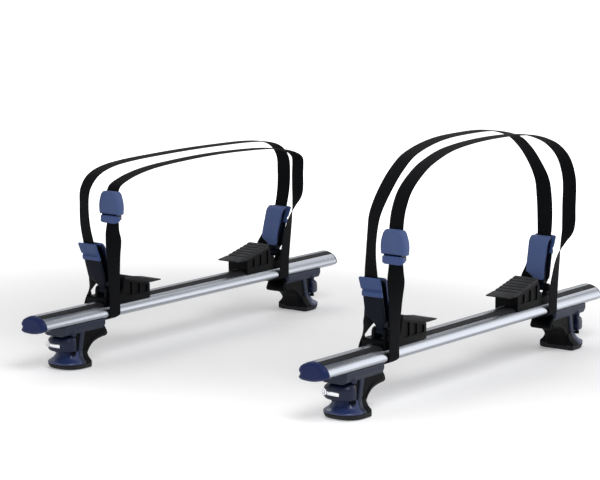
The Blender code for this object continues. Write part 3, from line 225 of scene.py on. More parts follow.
def ringStack(name, rings, heights):
    # horizontal rings, one above the other, closed top and bottom
    return gridObject(name, np.stack([np.column_stack([ring, np.full(len(ring), height)])
                                      for ring, height in zip(rings, heights)]))


def bothSides(half):
    # an outline from one of its halves, whose first and last points lie nearest the middle
    return list(half) + [(-a, b) for a, b in half[::-1]]


def scaledRings(name, curve, middle, rows):
    # an upright outline (sideways, height), scaled about its middle and stacked outboard as (place, scale)
    return gridObject(name, np.stack([ringAt(middle + (curve - middle) * scale, place, alongBar)
                                      for place, scale in rows]))


def turned(name, start, end, profile, columns=40):
    # a profile of (place along, radius) turned about the line from start towards end
    start, end = np.array(start, float), np.array(end, float)
    axis = (end - start) / np.linalg.norm(end - start)
    first = np.cross(axis, (0, 0, 1) if abs(axis[2]) < 0.9 else (1, 0, 0))
    first /= np.linalg.norm(first)
    turn = np.linspace(0, 2 * math.pi, columns, endpoint=False)[:, None]
    circle = np.cos(turn) * first + np.sin(turn) * np.cross(axis, first)
    places, radii = np.array(profile, float).T[..., None, None]
    return gridObject(name, start + places * axis + radii * circle)


def onBothFlanks(name, outline, inner, outer):
    # an outline carried between two distances from the middle, once on either side
    return [sweepOutline(name, outline, (edge * inner, edge * outer), acrossBar) for edge in (-1, 1)]


def wallPair(name, outline, inner, outer, ease):
    # the same with eased rims
    return [easedSweep(name, outline, *sorted((edge * inner, edge * outer)), ease) for edge in (-1, 1)]


def rod(name, start, end, radius, columns=40, rounding=0.0):
    # a straight round bar with its rims eased by a quarter circle
    ease = np.radians(np.linspace(0, 90, 5 if rounding else 1))
    rim = np.stack([rounding * (1 - np.cos(ease)), radius - rounding * (1 - np.sin(ease))], 1)
    length = np.linalg.norm(np.subtract(end, start))
    return turned(name, start, end, np.vstack([rim, (rim * (-1, 1) + (length, 0))[::-1]]), columns)


def box(name, low, high):
    # a block between its lowest and highest corner
    outline = np.array([(low[0], low[1]), (high[0], low[1]), (high[0], high[1]), (low[0], high[1])], float)
    return ringStack(name, [outline, outline], (low[2], high[2]))


def faceOut(item):
    # welds doubles and turns every face outward
    edit = bmesh.new()
    edit.from_mesh(item.data)
    bmesh.ops.remove_doubles(edit, verts=edit.verts, dist=0.00001)
    bmesh.ops.recalc_face_normals(edit, faces=edit.faces)
    edit.to_mesh(item.data)
    edit.free()


def joinForms(item, others):
    # several forms in one mesh
    edit = bmesh.new()
    for form in [item] + others:
        faceOut(form)
        edit.from_mesh(form.data)
    edit.to_mesh(item.data)
    edit.free()
    for form in others:
        bpy.data.objects.remove(form)
    return item


def applyModifiers(item):
    # the evaluated mesh takes the place of the piece's own
    bpy.context.view_layer.update()
    mesh = bpy.data.meshes.new_from_object(item.evaluated_get(bpy.context.evaluated_depsgraph_get()))
    item.modifiers.clear()
    item.data = mesh


def cutAway(item, cutters):
    # Boolean difference with each cutter, applied; the cutters are deleted
    faceOut(item)
    for cutter in cutters:
        faceOut(cutter)
        step = item.modifiers.new("cut", "BOOLEAN")
        step.operation = "DIFFERENCE"
        step.solver = "MANIFOLD"
        step.object = cutter
    applyModifiers(item)
    for cutter in cutters:
        bpy.data.objects.remove(cutter)


def fuseForms(item, others, voxel, smoothing):
    # overlapping closed forms become one moulding: joined, remeshed and eased, which leaves small fillets
    joinForms(item, others)
    remesh = item.modifiers.new("one skin", "REMESH")
    remesh.mode = "VOXEL"
    remesh.voxel_size = voxel
    ease = item.modifiers.new("eased", "SMOOTH")
    ease.factor = 0.5
    ease.iterations = smoothing
    applyModifiers(item)


# Camera at the photo's angle: 600 x 480 frame, solved from the bars, feet and straps

cameraSettings = {"eye": (-3.6443, -2.7624, 1.0078), "forward": (0.77850533, 0.60575984, -0.1642695),
                  "up": (0.13243355, 0.09729283, 0.98640532), "lens": 136.4, "sensor": 36, "clipEnd": 200}


def makeCamera():
    lens = bpy.data.cameras.new("photo camera")
    lens.sensor_width = cameraSettings["sensor"]
    lens.lens = cameraSettings["lens"]
    lens.clip_end = cameraSettings["clipEnd"]
    forward = Vector(cameraSettings["forward"]).normalized()
    right = forward.cross(Vector(cameraSettings["up"])).normalized()
    turn = Matrix((right, right.cross(forward), -forward)).transposed().to_4x4()
    camera = linked("photo camera", lens)
    camera.matrix_world = Matrix.Translation(cameraSettings["eye"]) @ turn
    bpy.context.scene.camera = camera


# Stage: white floor that keeps the shadow, with a painted shade in an oval behind the near feet, white
# surroundings, large soft lamps as (place, width, watts)

stageSettings = {"floor": "#f6f6f7", "floorHalf": 30.0, "seenWhite": 1.0, "ambient": 0.3, "glossShare": 0.36,
                 # the glows, reaches and oval set a painted shade on the floor behind the near feet
                 "paintedShadeGlow": 0.13, "farGlow": 1.0, "nearReach": 0.35, "farReach": 1.5,
                 "shadeOvalShift": (-0.22, -0.15, 0), "shadeOvalScale": (1, 0.7, 1), "lampTarget": (0, 0, 0.2),
                 "lamps": {"key": ((-1.4, -1.9, 2.7), 1.5, 50.0), "card": ((2.3, -2.0, 1.0), 1.8, 20.0),
                           "fill": ((-3.0, 1.4, 1.3), 1.6, 7.0), "back": ((1.4, 2.0, 2.4), 1.6, 14.0),
                           "roof": ((2.6, 0.3, 2.2), 2.2, 14.0)}}


def makeFloor():
    s = stageSettings
    material, tree, shader = newMaterial("white floor paper", s["floor"], 0.9, specular=0.1)
    # the paper glows for camera and glossy rays alone, less within a long oval behind the near feet: a
    # painted shade there, darkest at the oval's middle
    place = addNode(tree, "TexCoord")
    oval = addNode(tree, "Mapping", {"Vector": (place, "Object"), "Location": s["shadeOvalShift"],
                                     "Scale": s["shadeOvalScale"]})
    reach = addNode(tree, "VectorMath", {0: (oval, "Vector")}, operation="LENGTH")
    glow = addNode(tree, "MapRange", {"Value": (reach, "Value"), "From Min": s["nearReach"],
                                      "From Max": s["farReach"], "To Min": s["paintedShadeGlow"],
                                      "To Max": s["farGlow"]}, interpolation_type="SMOOTHSTEP")
    rays = addNode(tree, "LightPath")
    seen = addNode(tree, "Math", {0: (rays, "Is Camera Ray"), 1: (rays, "Is Glossy Ray")},
                   operation="MAXIMUM")
    power = addNode(tree, "Math", {0: (glow, "Result"), 1: (seen, "Value")}, operation="MULTIPLY")
    shader.inputs["Emission Color"].default_value = (1, 1, 1, 1)
    tree.links.new(power.outputs["Value"], shader.inputs["Emission Strength"])
    half = s["floorHalf"]
    floor = gridObject("floor", [[(-half, -half, 0), (half, -half, 0)], [(-half, half, 0), (half, half, 0)]],
                       wrapped=False, capped=False)
    floor.data.materials.append(material)


def makeSurroundings():
    # white to the camera, a share of it to gloss, and a low even light on everything else
    s = stageSettings
    world = bpy.data.worlds.new("studio")
    world.use_nodes = True
    bpy.context.scene.world = world
    tree = world.node_tree
    background = tree.nodes["Background"]
    background.inputs["Color"].default_value = (1, 1, 1, 1)
    rays = addNode(tree, "LightPath")
    gloss = addNode(tree, "Math", {0: (rays, "Is Glossy Ray"), 1: s["glossShare"]}, operation="MULTIPLY")
    seen = addNode(tree, "Math", {0: (rays, "Is Camera Ray"), 1: (gloss, "Value")}, operation="MAXIMUM")
    strength = addNode(tree, "MapRange", {"Value": (seen, "Value"), "To Min": s["ambient"],
                                          "To Max": s["seenWhite"]})
    tree.links.new(strength.outputs["Result"], background.inputs["Strength"])
    for name, (spot, width, watts) in s["lamps"].items():
        lamp = bpy.data.lights.new(name + " softbox", "AREA")
        lamp.shape = "SQUARE"
        lamp.size = width
        lamp.energy = watts
        item = linked(name + " softbox", lamp)
        item.location = spot
        item.rotation_euler = (Vector(s["lampTarget"]) - Vector(spot)).to_track_quat("-Z", "Y").to_euler()


# Materials

def objectNoise(tree, scale, detail=3.0, stretch=(1, 1, 1)):
    # noise on Object coordinates; scale is in features per metre, and stretch multiplies it along each axis
    place = addNode(tree, "TexCoord")
    mapping = addNode(tree, "Mapping", {"Vector": (place, "Object"), "Scale": stretch})
    return addNode(tree, "TexNoise", {"Vector": (mapping, "Vector"), "Scale": scale, "Detail": detail,
                                      "Roughness": 0.55})


def varied(tree, shader, noise, low, high):
    # lets a noise move the roughness between two values
    spread = addNode(tree, "MapRange", {"Value": (noise, "Fac"), "From Min": 0.3, "From Max": 0.7,
                                        "To Min": low, "To Max": high})
    tree.links.new(spread.outputs["Result"], shader.inputs["Roughness"])


def tinted(tree, shader, source, output, lowHex, highHex):
    # lets a source's output move the base colour between two hex values
    mix = addNode(tree, "Mix", data_type="RGBA")
    colours = [socket for socket in mix.inputs if socket.type == "RGBA"]
    colours[0].default_value = toLinear(lowHex)
    colours[1].default_value = toLinear(highHex)
    tree.links.new(source.outputs[output], mix.inputs[0])
    result = [socket for socket in mix.outputs if socket.type == "RGBA"][0]
    tree.links.new(result, shader.inputs["Base Color"])


def raised(tree, shader, source, output, distance):
    # bump from a source's output, its height in metres
    bump = addNode(tree, "Bump", {"Height": (source, output), "Distance": distance, "Strength": 1.0})
    tree.links.new(bump.outputs["Normal"], shader.inputs["Normal"])


def anodisedAluminium():
    # clear-anodised 6063 extrusion: satin, with faint die lines along its length
    material, tree, shader = newMaterial("anodised aluminium extrusion", "#c6cad0", 0.3, metallic=1.0)
    lines = objectNoise(tree, 1300, 2, stretch=(0.0008, 1, 1))  # a die line every 0.8 mm, over a metre long
    varied(tree, shader, lines, 0.25, 0.31)
    tinted(tree, shader, lines, "Fac", "#9a9ea6", "#a5a9b1")
    raised(tree, shader, lines, "Fac", 0.004 * mm)
    return material


def mouldedPlastic(name, hexText, roughness, specular):
    # glass-filled nylon moulding: fine spark-eroded texture, drawn at 0.8 mm so that it shows
    material, tree, shader = newMaterial(name, hexText, roughness, specular=specular)
    varied(tree, shader, objectNoise(tree, 26), roughness - 0.05, roughness + 0.06)
    raised(tree, shader, objectNoise(tree, 1250, 2), "Fac", 0.06 * mm)
    return material


def mouldedRubber(name, hexText, roughness, specular=0.35):
    # EPDM or soft elastomer: matt, with a slight bloom and a fine moulded grain of 0.7 mm
    material, tree, shader = newMaterial(name, hexText, roughness, specular=specular)
    varied(tree, shader, objectNoise(tree, 40, 4), roughness - 0.08, roughness + 0.08)
    raised(tree, shader, objectNoise(tree, 1400), "Fac", 0.05 * mm)
    return material


def wovenWebbing():
    # polypropylene webbing: warp cords 1.6 mm wide, weft crossing them every 1.3 mm, from the UV in metres
    material, tree, shader = newMaterial("woven polypropylene webbing", "#08090b", 0.8, specular=0.1)
    place = addNode(tree, "TexCoord")
    parts = addNode(tree, "SeparateXYZ", {"Vector": (place, "UV")})
    waves = []
    for axis, spacing in (("X", 1.6), ("Y", 1.3)):
        phase = addNode(tree, "Math", {0: (parts, axis), 1: math.pi / (spacing * mm)}, operation="MULTIPLY")
        waves.append(addNode(tree, "Math", {0: (phase, "Value")}, operation="SINE"))
    crossing = addNode(tree, "Math", {0: (waves[0], "Value"), 1: (waves[1], "Value")}, operation="MULTIPLY")
    height = addNode(tree, "Math", {0: (crossing, "Value"), 1: 0.5, 2: 0.5}, operation="MULTIPLY_ADD")
    raised(tree, shader, height, "Value", 0.25 * mm)
    # the raised cords are tinted lighter and the hollows between them darker: a painted shade of the weave
    tinted(tree, shader, height, "Value", "#030406", "#0d0e12")
    return material


def polishedChrome():
    # bright chrome over a zinc casting, with light handling marks
    material, tree, shader = newMaterial("polished chrome plate", "#dcdee2", 0.12, metallic=1.0)
    varied(tree, shader, objectNoise(tree, 300, 4), 0.08, 0.2)
    return material


def platedSteel(name, lowHex, highHex):
    # zinc plate on pressed steel: slightly cloudy crystals of a few millimetres
    material, tree, shader = newMaterial(name, lowHex, 0.36, metallic=1.0)
    crystals = objectNoise(tree, 420)
    varied(tree, shader, crystals, 0.28, 0.46)
    tinted(tree, shader, crystals, "Fac", lowHex, highHex)
    return material


# the record's slots by their own names, then further finishes
finishes = {
    "aluminium": anodisedAluminium(),
    "black_rubber": mouldedRubber("black EPDM rubber", "#121318", 0.7),
    "cap_plastic": mouldedPlastic("navy moulded cap plastic", "#1b2856", 0.44, 0.16),
    "foot_plastic": mouldedPlastic("navy-black glass-filled nylon", "#151d38", 0.34, 0.26),
    "slate_plastic": mouldedPlastic("navy glass-filled nylon", "#0a0f1e", 0.5, 0.1),
    "slate_rubber": mouldedRubber("slate blue elastomer", "#4a5c8a", 0.62, 0.3),
    "chrome": polishedChrome(),
    "zinc_steel": platedSteel("bright zinc-plated steel", "#9a9ea4", "#b6babf"),
    "webbing": wovenWebbing(),
    "blackNylon": mouldedPlastic("black glass-filled nylon", "#030406", 0.42, 0.07),
    # a lighter copy of the black nylon, for the saddle and its slanted rib: painted light
    "paintedLightNylon": mouldedPlastic("black nylon lightened by painted light", "#21283d", 0.36, 0.24),
    # navy drawn lighter blue for the base's toe: partly its own colour, partly a painted reflection
    "navyReflectionNylon": mouldedPlastic("navy nylon with painted reflection", "#2b3966", 0.28, 0.6),
    # on the upright's lip this lighter slate blue stands for a painted reflection of the floor
    "slatePlastic": mouldedPlastic("slate blue glass-filled nylon", "#3a5084", 0.42, 0.3),
    # the buckle frame's bright zinc darkened: painted shade beside the bumper
    "shadeDarkSteel": platedSteel("zinc-plated steel darkened by painted shade", "#33363b", "#43464c"),
}
print("materials made")


def dressFrame():
    # every CAD node takes its slot's material
    slots = {part["node"]: part["material_slot"] for part in frame["record"]["subparts"]}
    for name, item in frame["nodes"].items():
        item.data.materials.clear()
        item.data.materials.append(finishes[slots[name]])


def finishPiece(item, body, finish, angle, replaces=None):
    # outward faces, smooth shading up to an angle, the finish, and the body that carries it, if it rides on
    # one
    faceOut(item)
    item.data.materials.clear()
    item.data.materials.append(finishes[finish])
    item.data.shade_smooth()
    item.data.set_sharp_from_angle(angle=math.radians(angle))
    if body:
        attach(item, body)
    if replaces:
        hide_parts(replaces)


def placeForm(source, name, toWorld):
    # a copy of a form drawn in millimetres, whose points toWorld turns into places in metres
    mesh = source.data.copy()
    co = np.empty(len(mesh.vertices) * 3, np.float32)
    mesh.vertices.foreach_get("co", co)
    placed = np.stack(toWorld(*co.reshape(-1, 3).T), 1)
    mesh.vertices.foreach_set("co", placed.astype(np.float32).ravel())
    mesh.update()
    return linked(name, mesh)


def leaned(barName, out, height):
    # how far outboard and up of the hinge pin a place drawn over it lies, once it leans outboard about it
    c, s = math.cos(leans[barName]), math.sin(leans[barName])
    return out * c + height * s, height * c - out * s


def atCorner(barName, side):
    # a form drawn outboard along +X goes to its side of its bar
    return lambda x, y, z: (side * x * mm, barYs[barName] + y * mm, z * mm)


def leanedAtCorner(barName, side):
    # the same for a form drawn over its hinge pin
    def place(x, y, z):
        out, height = leaned(barName, x, z)
        return (side * (hinge["out"] * mm + out * mm), barYs[barName] + y * mm,
                hinge["height"] * mm + height * mm)
    return place


def placePieces(pieces, ending, *spot):
    # copies at one spot: pieces are (form, title, finish, smoothing angle, moving body, CAD node, placing)
    for form, title, finish, angle, body, node, placing in pieces:
        item = placeForm(form, title + ending, placing(*spot))
        finishPiece(item, body + ending if body else "root", finish, angle, node and node + ending)


def deleteForms(pieces):
    for form, *_ in pieces:
        bpy.data.objects.remove(form)


def placeAtCorners(pieces):
    for barName in barYs:
        for sideName, side in sides.items():
            placePieces(pieces, "_" + barName + "_" + sideName, barName, side)
    deleteForms(pieces)


bpy.context.scene.view_settings.view_transform = "Standard"
makeCamera()
makeFloor()
makeSurroundings()
dressFrame()

# Cross bars: aerofoil extrusion with a T-slot, its rubber filler and domed end caps; outlines are
# (sideways, height over the bar's underside)

barShape = {"length": 950, "underside": 83, "throatHalf": 5.5, "pocketHalf": 8.5, "pocketLow": 22.7,
            "pocketHigh": 29.2, "seatHalf": 7.05, "seatDepth": 1.5, "topFrom": 17,
            "section": ((33.9, 4.2), (27.9, 1.2), (16.8, 0), (2, 0.1), (-11.7, 2.4), (-24.6, 6.4),
                        (-33.3, 11.5), (-34.7, 16.6), (-31.2, 23.9), (-25.4, 29.9), (-17, 34.7),
                        (-6.8, 37.4), (5.1, 37.7), (18.1, 33.5), (28.3, 27.7), (33.6, 20.6)),
            "groove": ((33.6, 20.6), (33.0, 16.6), (30.6, 14.2), (30.6, 10.4), (33.6, 7.6), (33.9, 4.2))}


def barSection():
    # underside, nose and top as one smooth curve, then the groove in the tail with its corners rounded
    return smoothCurve(barShape["section"], 8), roundCorners(barShape["groove"], 1.2, 4, closed=False)[4:-4]


def barTopAt(side):
    # height of the bar's top at a place across it
    smooth = barSection()[0]
    upper = smooth[smooth[:, 1] > barShape["topFrom"]]
    upper = upper[np.argsort(upper[:, 0])]
    return np.interp(side, upper[:, 0], upper[:, 1])


def barLong(name, outline, barY):
    # an outline over the bar's underside, carried along the whole bar
    half = barShape["length"] / 2 * mm
    place = lambda a, b, depth: np.stack([depth, barY + a, barShape["underside"] * mm + b], -1)
    return sweepOutline(name, outline * mm, (-half, half), place)


def barCutter(gap, low, high):
    # the bar's own outline, grown by a gap, as the seat that it lies in
    seat = offsetCurve(barSection()[0], gap) + np.array([0, barShape["underside"]])
    return sweepOutline("barSeat", seat, (low, high), alongBar)


def slotWall(edge):
    # down one side of the T-slot, from the bar's top to the floor of the pocket
    s = barShape
    seat, throat, pocket = (slotSide + edge * s[half] for half in ("seatHalf", "throatHalf", "pocketHalf"))
    return [(seat, barTopAt(seat)), (seat, barTopAt(seat) - s["seatDepth"]),
            (throat, barTopAt(throat) - s["seatDepth"]), (throat, s["pocketHigh"]), (pocket, s["pocketHigh"]),
            (pocket, s["pocketLow"])]


def makeBar(name, barY):
    # the section, with its top broken by the slot
    smooth, groove = barSection()
    isTop = smooth[:, 1] > barShape["topFrom"]
    before = smooth[~isTop | (smooth[:, 0] < slotSide - barShape["seatHalf"])]
    after = smooth[isTop & (smooth[:, 0] > slotSide + barShape["seatHalf"])]
    outline = np.vstack([before, slotWall(-1), slotWall(1)[::-1], after, groove])
    finishPiece(barLong("barExtrusion_" + name, outline, barY), "root", "aluminium", 24, "bar_" + name)


stripShape = {"halfWidth": 6.75, "proud": 0.8, "edgePower": 6, "edgeFall": 0.6, "seat": 1.2, "stemHalf": 5.2,
              "grooves": (-2.3, 2.3), "grooveDepth": 0.55, "grooveHalf": 0.45}


def makeStrip(name, barY):
    # top that falls off at its edges by a power of the share across, less two shallow bell-shaped grooves,
    # over a stem that fills the slot
    s = stripShape
    across = np.linspace(-s["halfWidth"], s["halfWidth"], 55)
    lift = s["proud"] * (1 - np.abs(across / s["halfWidth"]) ** s["edgePower"] * s["edgeFall"])
    for spot in s["grooves"]:
        lift -= s["grooveDepth"] * np.exp(-((across - spot) / s["grooveHalf"]) ** 2)
    top = slotSide + across
    under = []
    for edge in (1, -1):
        rim, stem = slotSide + edge * s["halfWidth"], slotSide + edge * s["stemHalf"]
        under.append([(rim, barTopAt(rim) - s["seat"]), (stem, barTopAt(stem) - s["seat"]),
                      (stem, barShape["pocketHigh"])][::edge])
    outline = np.vstack([np.stack([top, barTopAt(top) + lift], 1), *under])
    finishPiece(barLong("slotFiller_" + name, outline, barY), "root", "black_rubber", 30, "bar_strip_" + name)


capShape = {"gap": 0.3, "length": 10, "drawIn": 0.42, "middle": (0.0, 18.0), "edgeTurn": 84, "rings": 14,
            "lip": 0.01, "centre": 0.04, "faceRings": 8}


def makeEndCap(name, side, barY):
    # the bar's outline drawn in over a quarter ellipse, then a nearly flat face that closes at its middle
    s = capShape
    outline = np.vstack(barSection())
    turn = np.radians(np.linspace(0, s["edgeTurn"], s["rings"]))
    shrink = 1 - s["drawIn"] * (1 - np.cos(turn))
    reach = s["length"] * np.sin(turn)
    face = np.linspace(1, s["centre"], s["faceRings"])[1:]
    shrink = np.concatenate([[shrink[0]], shrink, shrink[-1] * face])
    reach = np.concatenate([[0], reach + s["lip"], reach[-1] + (s["length"] - reach[-1]) * (1 - face ** 2)])
    rings = s["middle"] + (outline[None] - s["middle"]) * shrink[:, None, None]
    x = side * (barShape["length"] / 2 + s["gap"] + reach)[:, None] * np.ones(len(outline))
    grid = np.stack([x, barY / mm + rings[..., 0], barShape["underside"] + rings[..., 1]], -1) * mm
    cap = gridObject("endCap_" + name, grid)
    finishPiece(cap, "root", "cap_plastic", 50, "end_cap_" + name)


for barName, barY in barYs.items():
    makeBar(barName, barY)
    makeStrip(barName, barY)
    for sideName, side in sides.items():
        makeEndCap(barName + "_" + sideName, side, barY)
print("bars made")


# Feet, outboard along +X over the floor at their bar's middle: moulded body and saddle, base, hinged cover
# with its lock and a bare badge plate, rubber sole; outlines are (outboard, height) unless a note says more

footShape = {"inner": 302, "outer": 420, "baseInner": 355, "coverBack": 389, "voxel": 0.8, "smoothing": 5,
             "barSeat": (0.3, 290, 440),
             "leg": ((300, 84), (300, 80), (291, 66), (288, 58.5), (291.5, 53.5), (306, 52.3), (320, 50),
                     (333, 45), (343, 36.5), (349.5, 26), (353.5, 15), (355, 7), (380, 7), (380, 27),
                     (396, 29), (396, 34.8), (387.4, 36), (387.4, 68.4), (394, 70.5), (410, 73), (418, 77),
                     (418, 84)),
             "legHalf": 25, "legEase": 3.5,
             "spine": ((298, 57.5), (308, 56), (324, 53), (338, 46), (349, 34), (356, 20), (359, 10)),
             "spineHalf": 26.6, "spineDepth": 6.5, "spineEase": 1.5,
             # right half of the saddle's section, as (sideways, height), and the hollows in its flanks
             "saddle": ((21, 69.5), (27, 72), (31, 82), (31, 92)),
             "flank": ((280, 40), (280, 74.5), (300, 76), (320, 76), (345, 73), (366, 67), (384, 60),
                       (384, 40)),
             "flankDepth": (25.2, 45.2),
             # the cover's hinge as (outboard, sideways), its bosses as (from, to, radius) up it
             "hinge": (393, -27), "bosses": ((30, 36.4, 4.6), (68.2, 78, 5.0))}
ribShape = {"width": 13, "half": 28, "ease": 2.6, "heights": (16, 75), "inner": (371, 359), "proud": 0.6,
            "footInset": 1.2, "lap": 3}


def makeFootBody():
    # leg with its spine and the cover's lower hinge boss; saddle with the upper boss and the slanted rib
    s, r = footShape, ribShape
    body = easedSweep("footBody", roundCorners(s["leg"], radius=4), -s["legHalf"], s["legHalf"], s["legEase"])
    section = roundCorners(bothSides(s["saddle"]), radius=2.5)
    saddle = sweepOutline("footSaddle", section, (s["inner"], s["outer"]), alongBar)
    cutAway(saddle, onBothFlanks("flank", s["flank"], *s["flankDepth"]))
    lowBoss, highBoss = (rod("boss", (*s["hinge"], low), (*s["hinge"], high), radius)
                         for low, high, radius in s["bosses"])
    edge = smoothCurve(s["spine"], 4)
    band = np.vstack([edge, offsetCurve(edge, s["spineDepth"], closed=False)[::-1]])
    spine = easedSweep("legSpine", band, -s["spineHalf"], s["spineHalf"], s["spineEase"])
    foot, top = zip(r["inner"], r["heights"])
    slant = [top, (top[0] + r["width"], top[1]), (foot[0] + r["width"], foot[1]), foot]
    rib = easedSweep("legRib", roundCorners(slant, radius=2, steps=4), -r["half"], r["half"], r["ease"])
    fuseForms(body, [spine, lowBoss], s["voxel"], s["smoothing"])
    # the slanted rib goes with the saddle and takes its lighter nylon: a painted highlight down the leg
    fuseForms(saddle, [highBoss, rib], s["voxel"], s["smoothing"])
    for form in (body, saddle):
        cutAway(form, [barCutter(*s["barSeat"])])
    return body, saddle


planShape = {"cornerAt": 0.3, "power": 2.5, "nosePoints": 48, "edgePoints": 14}


def planRing(inner, nose, halfWidth, back=None):
    # a D in plan: straight inboard edge, or one cut off at back, and the nose as a superellipse
    s = planShape
    corner, start = inner + s["cornerAt"] * (nose - inner), back or inner
    turn = np.radians(np.linspace(-90, 90, s["nosePoints"]))
    reach = np.abs(np.cos(turn)) ** (2 / s["power"])
    spread = np.sign(np.sin(turn)) * np.abs(np.sin(turn)) ** (2 / s["power"])
    curve = np.stack([np.maximum(corner + (nose - corner) * reach, start), halfWidth * spread], 1)
    edge = np.linspace(halfWidth, -halfWidth, s["edgePoints"])
    return np.vstack([curve, np.stack([np.full(len(edge), start), edge], 1)])


def plateRing(inner, outer, half):
    # a rectangle in plan with its corners rounded
    return roundCorners([(inner, -half), (outer, -half), (outer, half), (inner, half)], radius=1.5, steps=4)


# levels of the base: height, nose and half width
baseLevels = ((11.0, 417.6, 39.8), (11.4, 419.4, 40.8), (12.8, 420, 41), (14.4, 419.4, 40.6), (16, 417, 39.2),
              (18, 413, 36.8), (20.6, 408.8, 34), (24.2, 405.2, 31.4), (28.4, 402.4, 29.4), (32, 400.6, 28.2),
              (35.4, 399.4, 27.5))


def makeFootBase():
    # a thick rolled rim low down, and a hollow top that sweeps from it up to the cover; it is a toe whose
    # blue is partly its own navy and partly painted reflection, a black heel, and between them the lower end
    # of the slanted rib, which stands a little proud and takes the rib's painted highlight
    inner, s = footShape["baseInner"], ribShape
    toe, heel, rib = [], [], []
    flare = smoothCurve(baseLevels, 3)
    for height, nose, half in flare:
        edge = np.interp(height, s["heights"], s["inner"])
        toe.append(planRing(inner, nose, half, back=edge + s["width"] - s["lap"]))
        heel.append(plateRing(inner, edge + s["lap"], half))
        rib.append(plateRing(edge + s["footInset"], edge + s["width"] - s["footInset"], half + s["proud"]))
    return [ringStack(name, rings, flare[:, 0])
            for name, rings in (("footBase", toe), ("footHeel", heel), ("ribFoot", rib))]


# levels of the cover: height and inset
coverShape = {"levels": ((37, 4.5), (38, 2.2), (41, 0.4), (50, 0.1), (59, 1.0), (64, 4.5), (66.2, 8.0),
                         (67, 11.5)),
              "sideLow": -31.6, "sideHigh": 32, "hingePull": 0.4,
              "bow": 11, "bowPower": 2.6, "bowShare": 0.94,
              # its inboard corners as (outboard of its back, in from its side); the end by the lock draws in
              "hingeCorner": ((0, 1.6), (1.2, 0.4), (3, 0)), "lockCorner": ((1, 0), (0, 1)), "lockEnd": 10,
              "lockPull": 0.3}


def coverSides(inset):
    # middle and half width of the cover at a level's inset, which pulls the hinge side less
    low, high = coverShape["sideLow"] + inset * coverShape["hingePull"], coverShape["sideHigh"] - inset
    return (low + high) / 2, (high - low) / 2


def coverBow(inset, share):
    # how far outboard the cover's front lies at a share of its half width
    return footShape["outer"] - inset - coverShape["bow"] * np.abs(share) ** coverShape["bowPower"]


def coverFront(height, across):
    # the same at a height and a place across the cover
    inset = np.interp(height, *np.transpose(coverShape["levels"]))
    middle, half = coverSides(inset)
    return coverBow(inset, (across - middle) / half / coverShape["bowShare"])


def makeCover():
    # rings in plan, drawn in towards the top and bottom; the front is a shallow bow
    s, lock = coverShape, lockShape
    curve = smoothCurve(s["levels"], 5)
    back, share, rings = footShape["coverBack"], np.linspace(-1, 1, 41), []
    for height, inset in curve:
        middle, half = coverSides(inset)
        low, high = middle - half, middle + half
        front = np.stack([coverBow(inset, share), middle + half * share * s["bowShare"]], 1)
        rings.append(np.vstack([[(back + out, low + more) for out, more in s["hingeCorner"]], front,
                                [(back + s["lockEnd"] - s["lockPull"] * inset, high)],
                                [(back + out, high - more) for out, more in s["lockCorner"]]]))
    cover = ringStack("footCover", rings, curve[:, 0])
    cutAway(cover, [rod("lockBore", *((out, lock["side"], lock["height"]) for out in lock["bore"]),
                        lock["radius"] + lock["clearance"])])
    return cover


badgeShape = {"middle": 1.5, "half": 14, "low": 46.4, "high": 53.2, "proud": 0.7, "edgeDrop": 0.35,
              "endPower": 20, "rimPower": 8, "depth": 1.0}


def makeBadge():
    # a bare plate bent to the cover's front: rows up, columns along; high powers keep it flat up to its edge,
    # where it drops, and a rim joins it to its back
    s = badgeShape
    a, u = np.meshgrid(np.linspace(-1, 1, 33), np.linspace(-1, 1, 9))
    across = s["middle"] + s["half"] * a
    height = (s["low"] + s["high"]) / 2 + (s["high"] - s["low"]) / 2 * u
    edge = np.maximum(np.abs(a) ** s["endPower"], np.abs(u) ** s["rimPower"])
    cover = coverFront(height, across)
    front = np.stack([cover + s["proud"] - s["edgeDrop"] * edge, across, height], -1)
    back = np.stack([cover - s["depth"], across, height], -1)
    rim = lambda g: np.concatenate([g[0, :-1], g[:-1, -1], g[-1, :0:-1], g[:0:-1, 0]])
    return joinForms(gridObject("badge", front, wrapped=False, capped=False),
                     [gridObject("badgeRim", np.stack([rim(front), rim(back)]), capped=False),
                      gridObject("badgeBack", back, wrapped=False, capped=False)])


lockShape = {"side": 23.5, "height": 50, "radius": 6.3, "clearance": 0.35, "face": 415.5, "length": 15,
             "bore": (395, 430), "slotHalf": 0.8, "slotReach": 3.4, "slotDepth": 4, "slotOver": 2,
             # (along the barrel, radius)
             "profile": ((0, 5.4), (0.2, 6), (0.8, 6.3), (14.3, 6.3), (14.85, 6), (15, 5.6), (14.85, 5.1),
                         (14.3, 4.9), (14.1, 4.7), (14.1, 0.3))}


def makeLock():
    # a rimmed barrel: raised ring, dished face and an upright key slot
    s = lockShape
    face, side, height = s["face"], s["side"], s["height"]
    lock = turned("lock", (face - s["length"], side, height), (face, side, height), s["profile"], 48)
    cutAway(lock, [box("keySlot", (face - s["slotDepth"], side - s["slotHalf"], height - s["slotReach"]),
                       (face + s["slotOver"], side + s["slotHalf"], height + s["slotReach"]))])
    return lock


# block as (height, inset), skirt as (height, nose, half width)
soleShape = {"nose": 390, "half": 33, "blockGap": 1, "skirtGap": 0.4,
             "block": ((0, 1.0), (0.25, 0.35), (0.9, 0), (5.6, 0), (6.4, 0.3), (6.7, 1.0)),
             "skirt": ((1.4, 411, 38.8), (1.8, 413.2, 39.6), (4, 416, 40.2), (7.6, 418.2, 40.6),
                       (10.2, 418.9, 40.8), (10.7, 417.6, 40))}


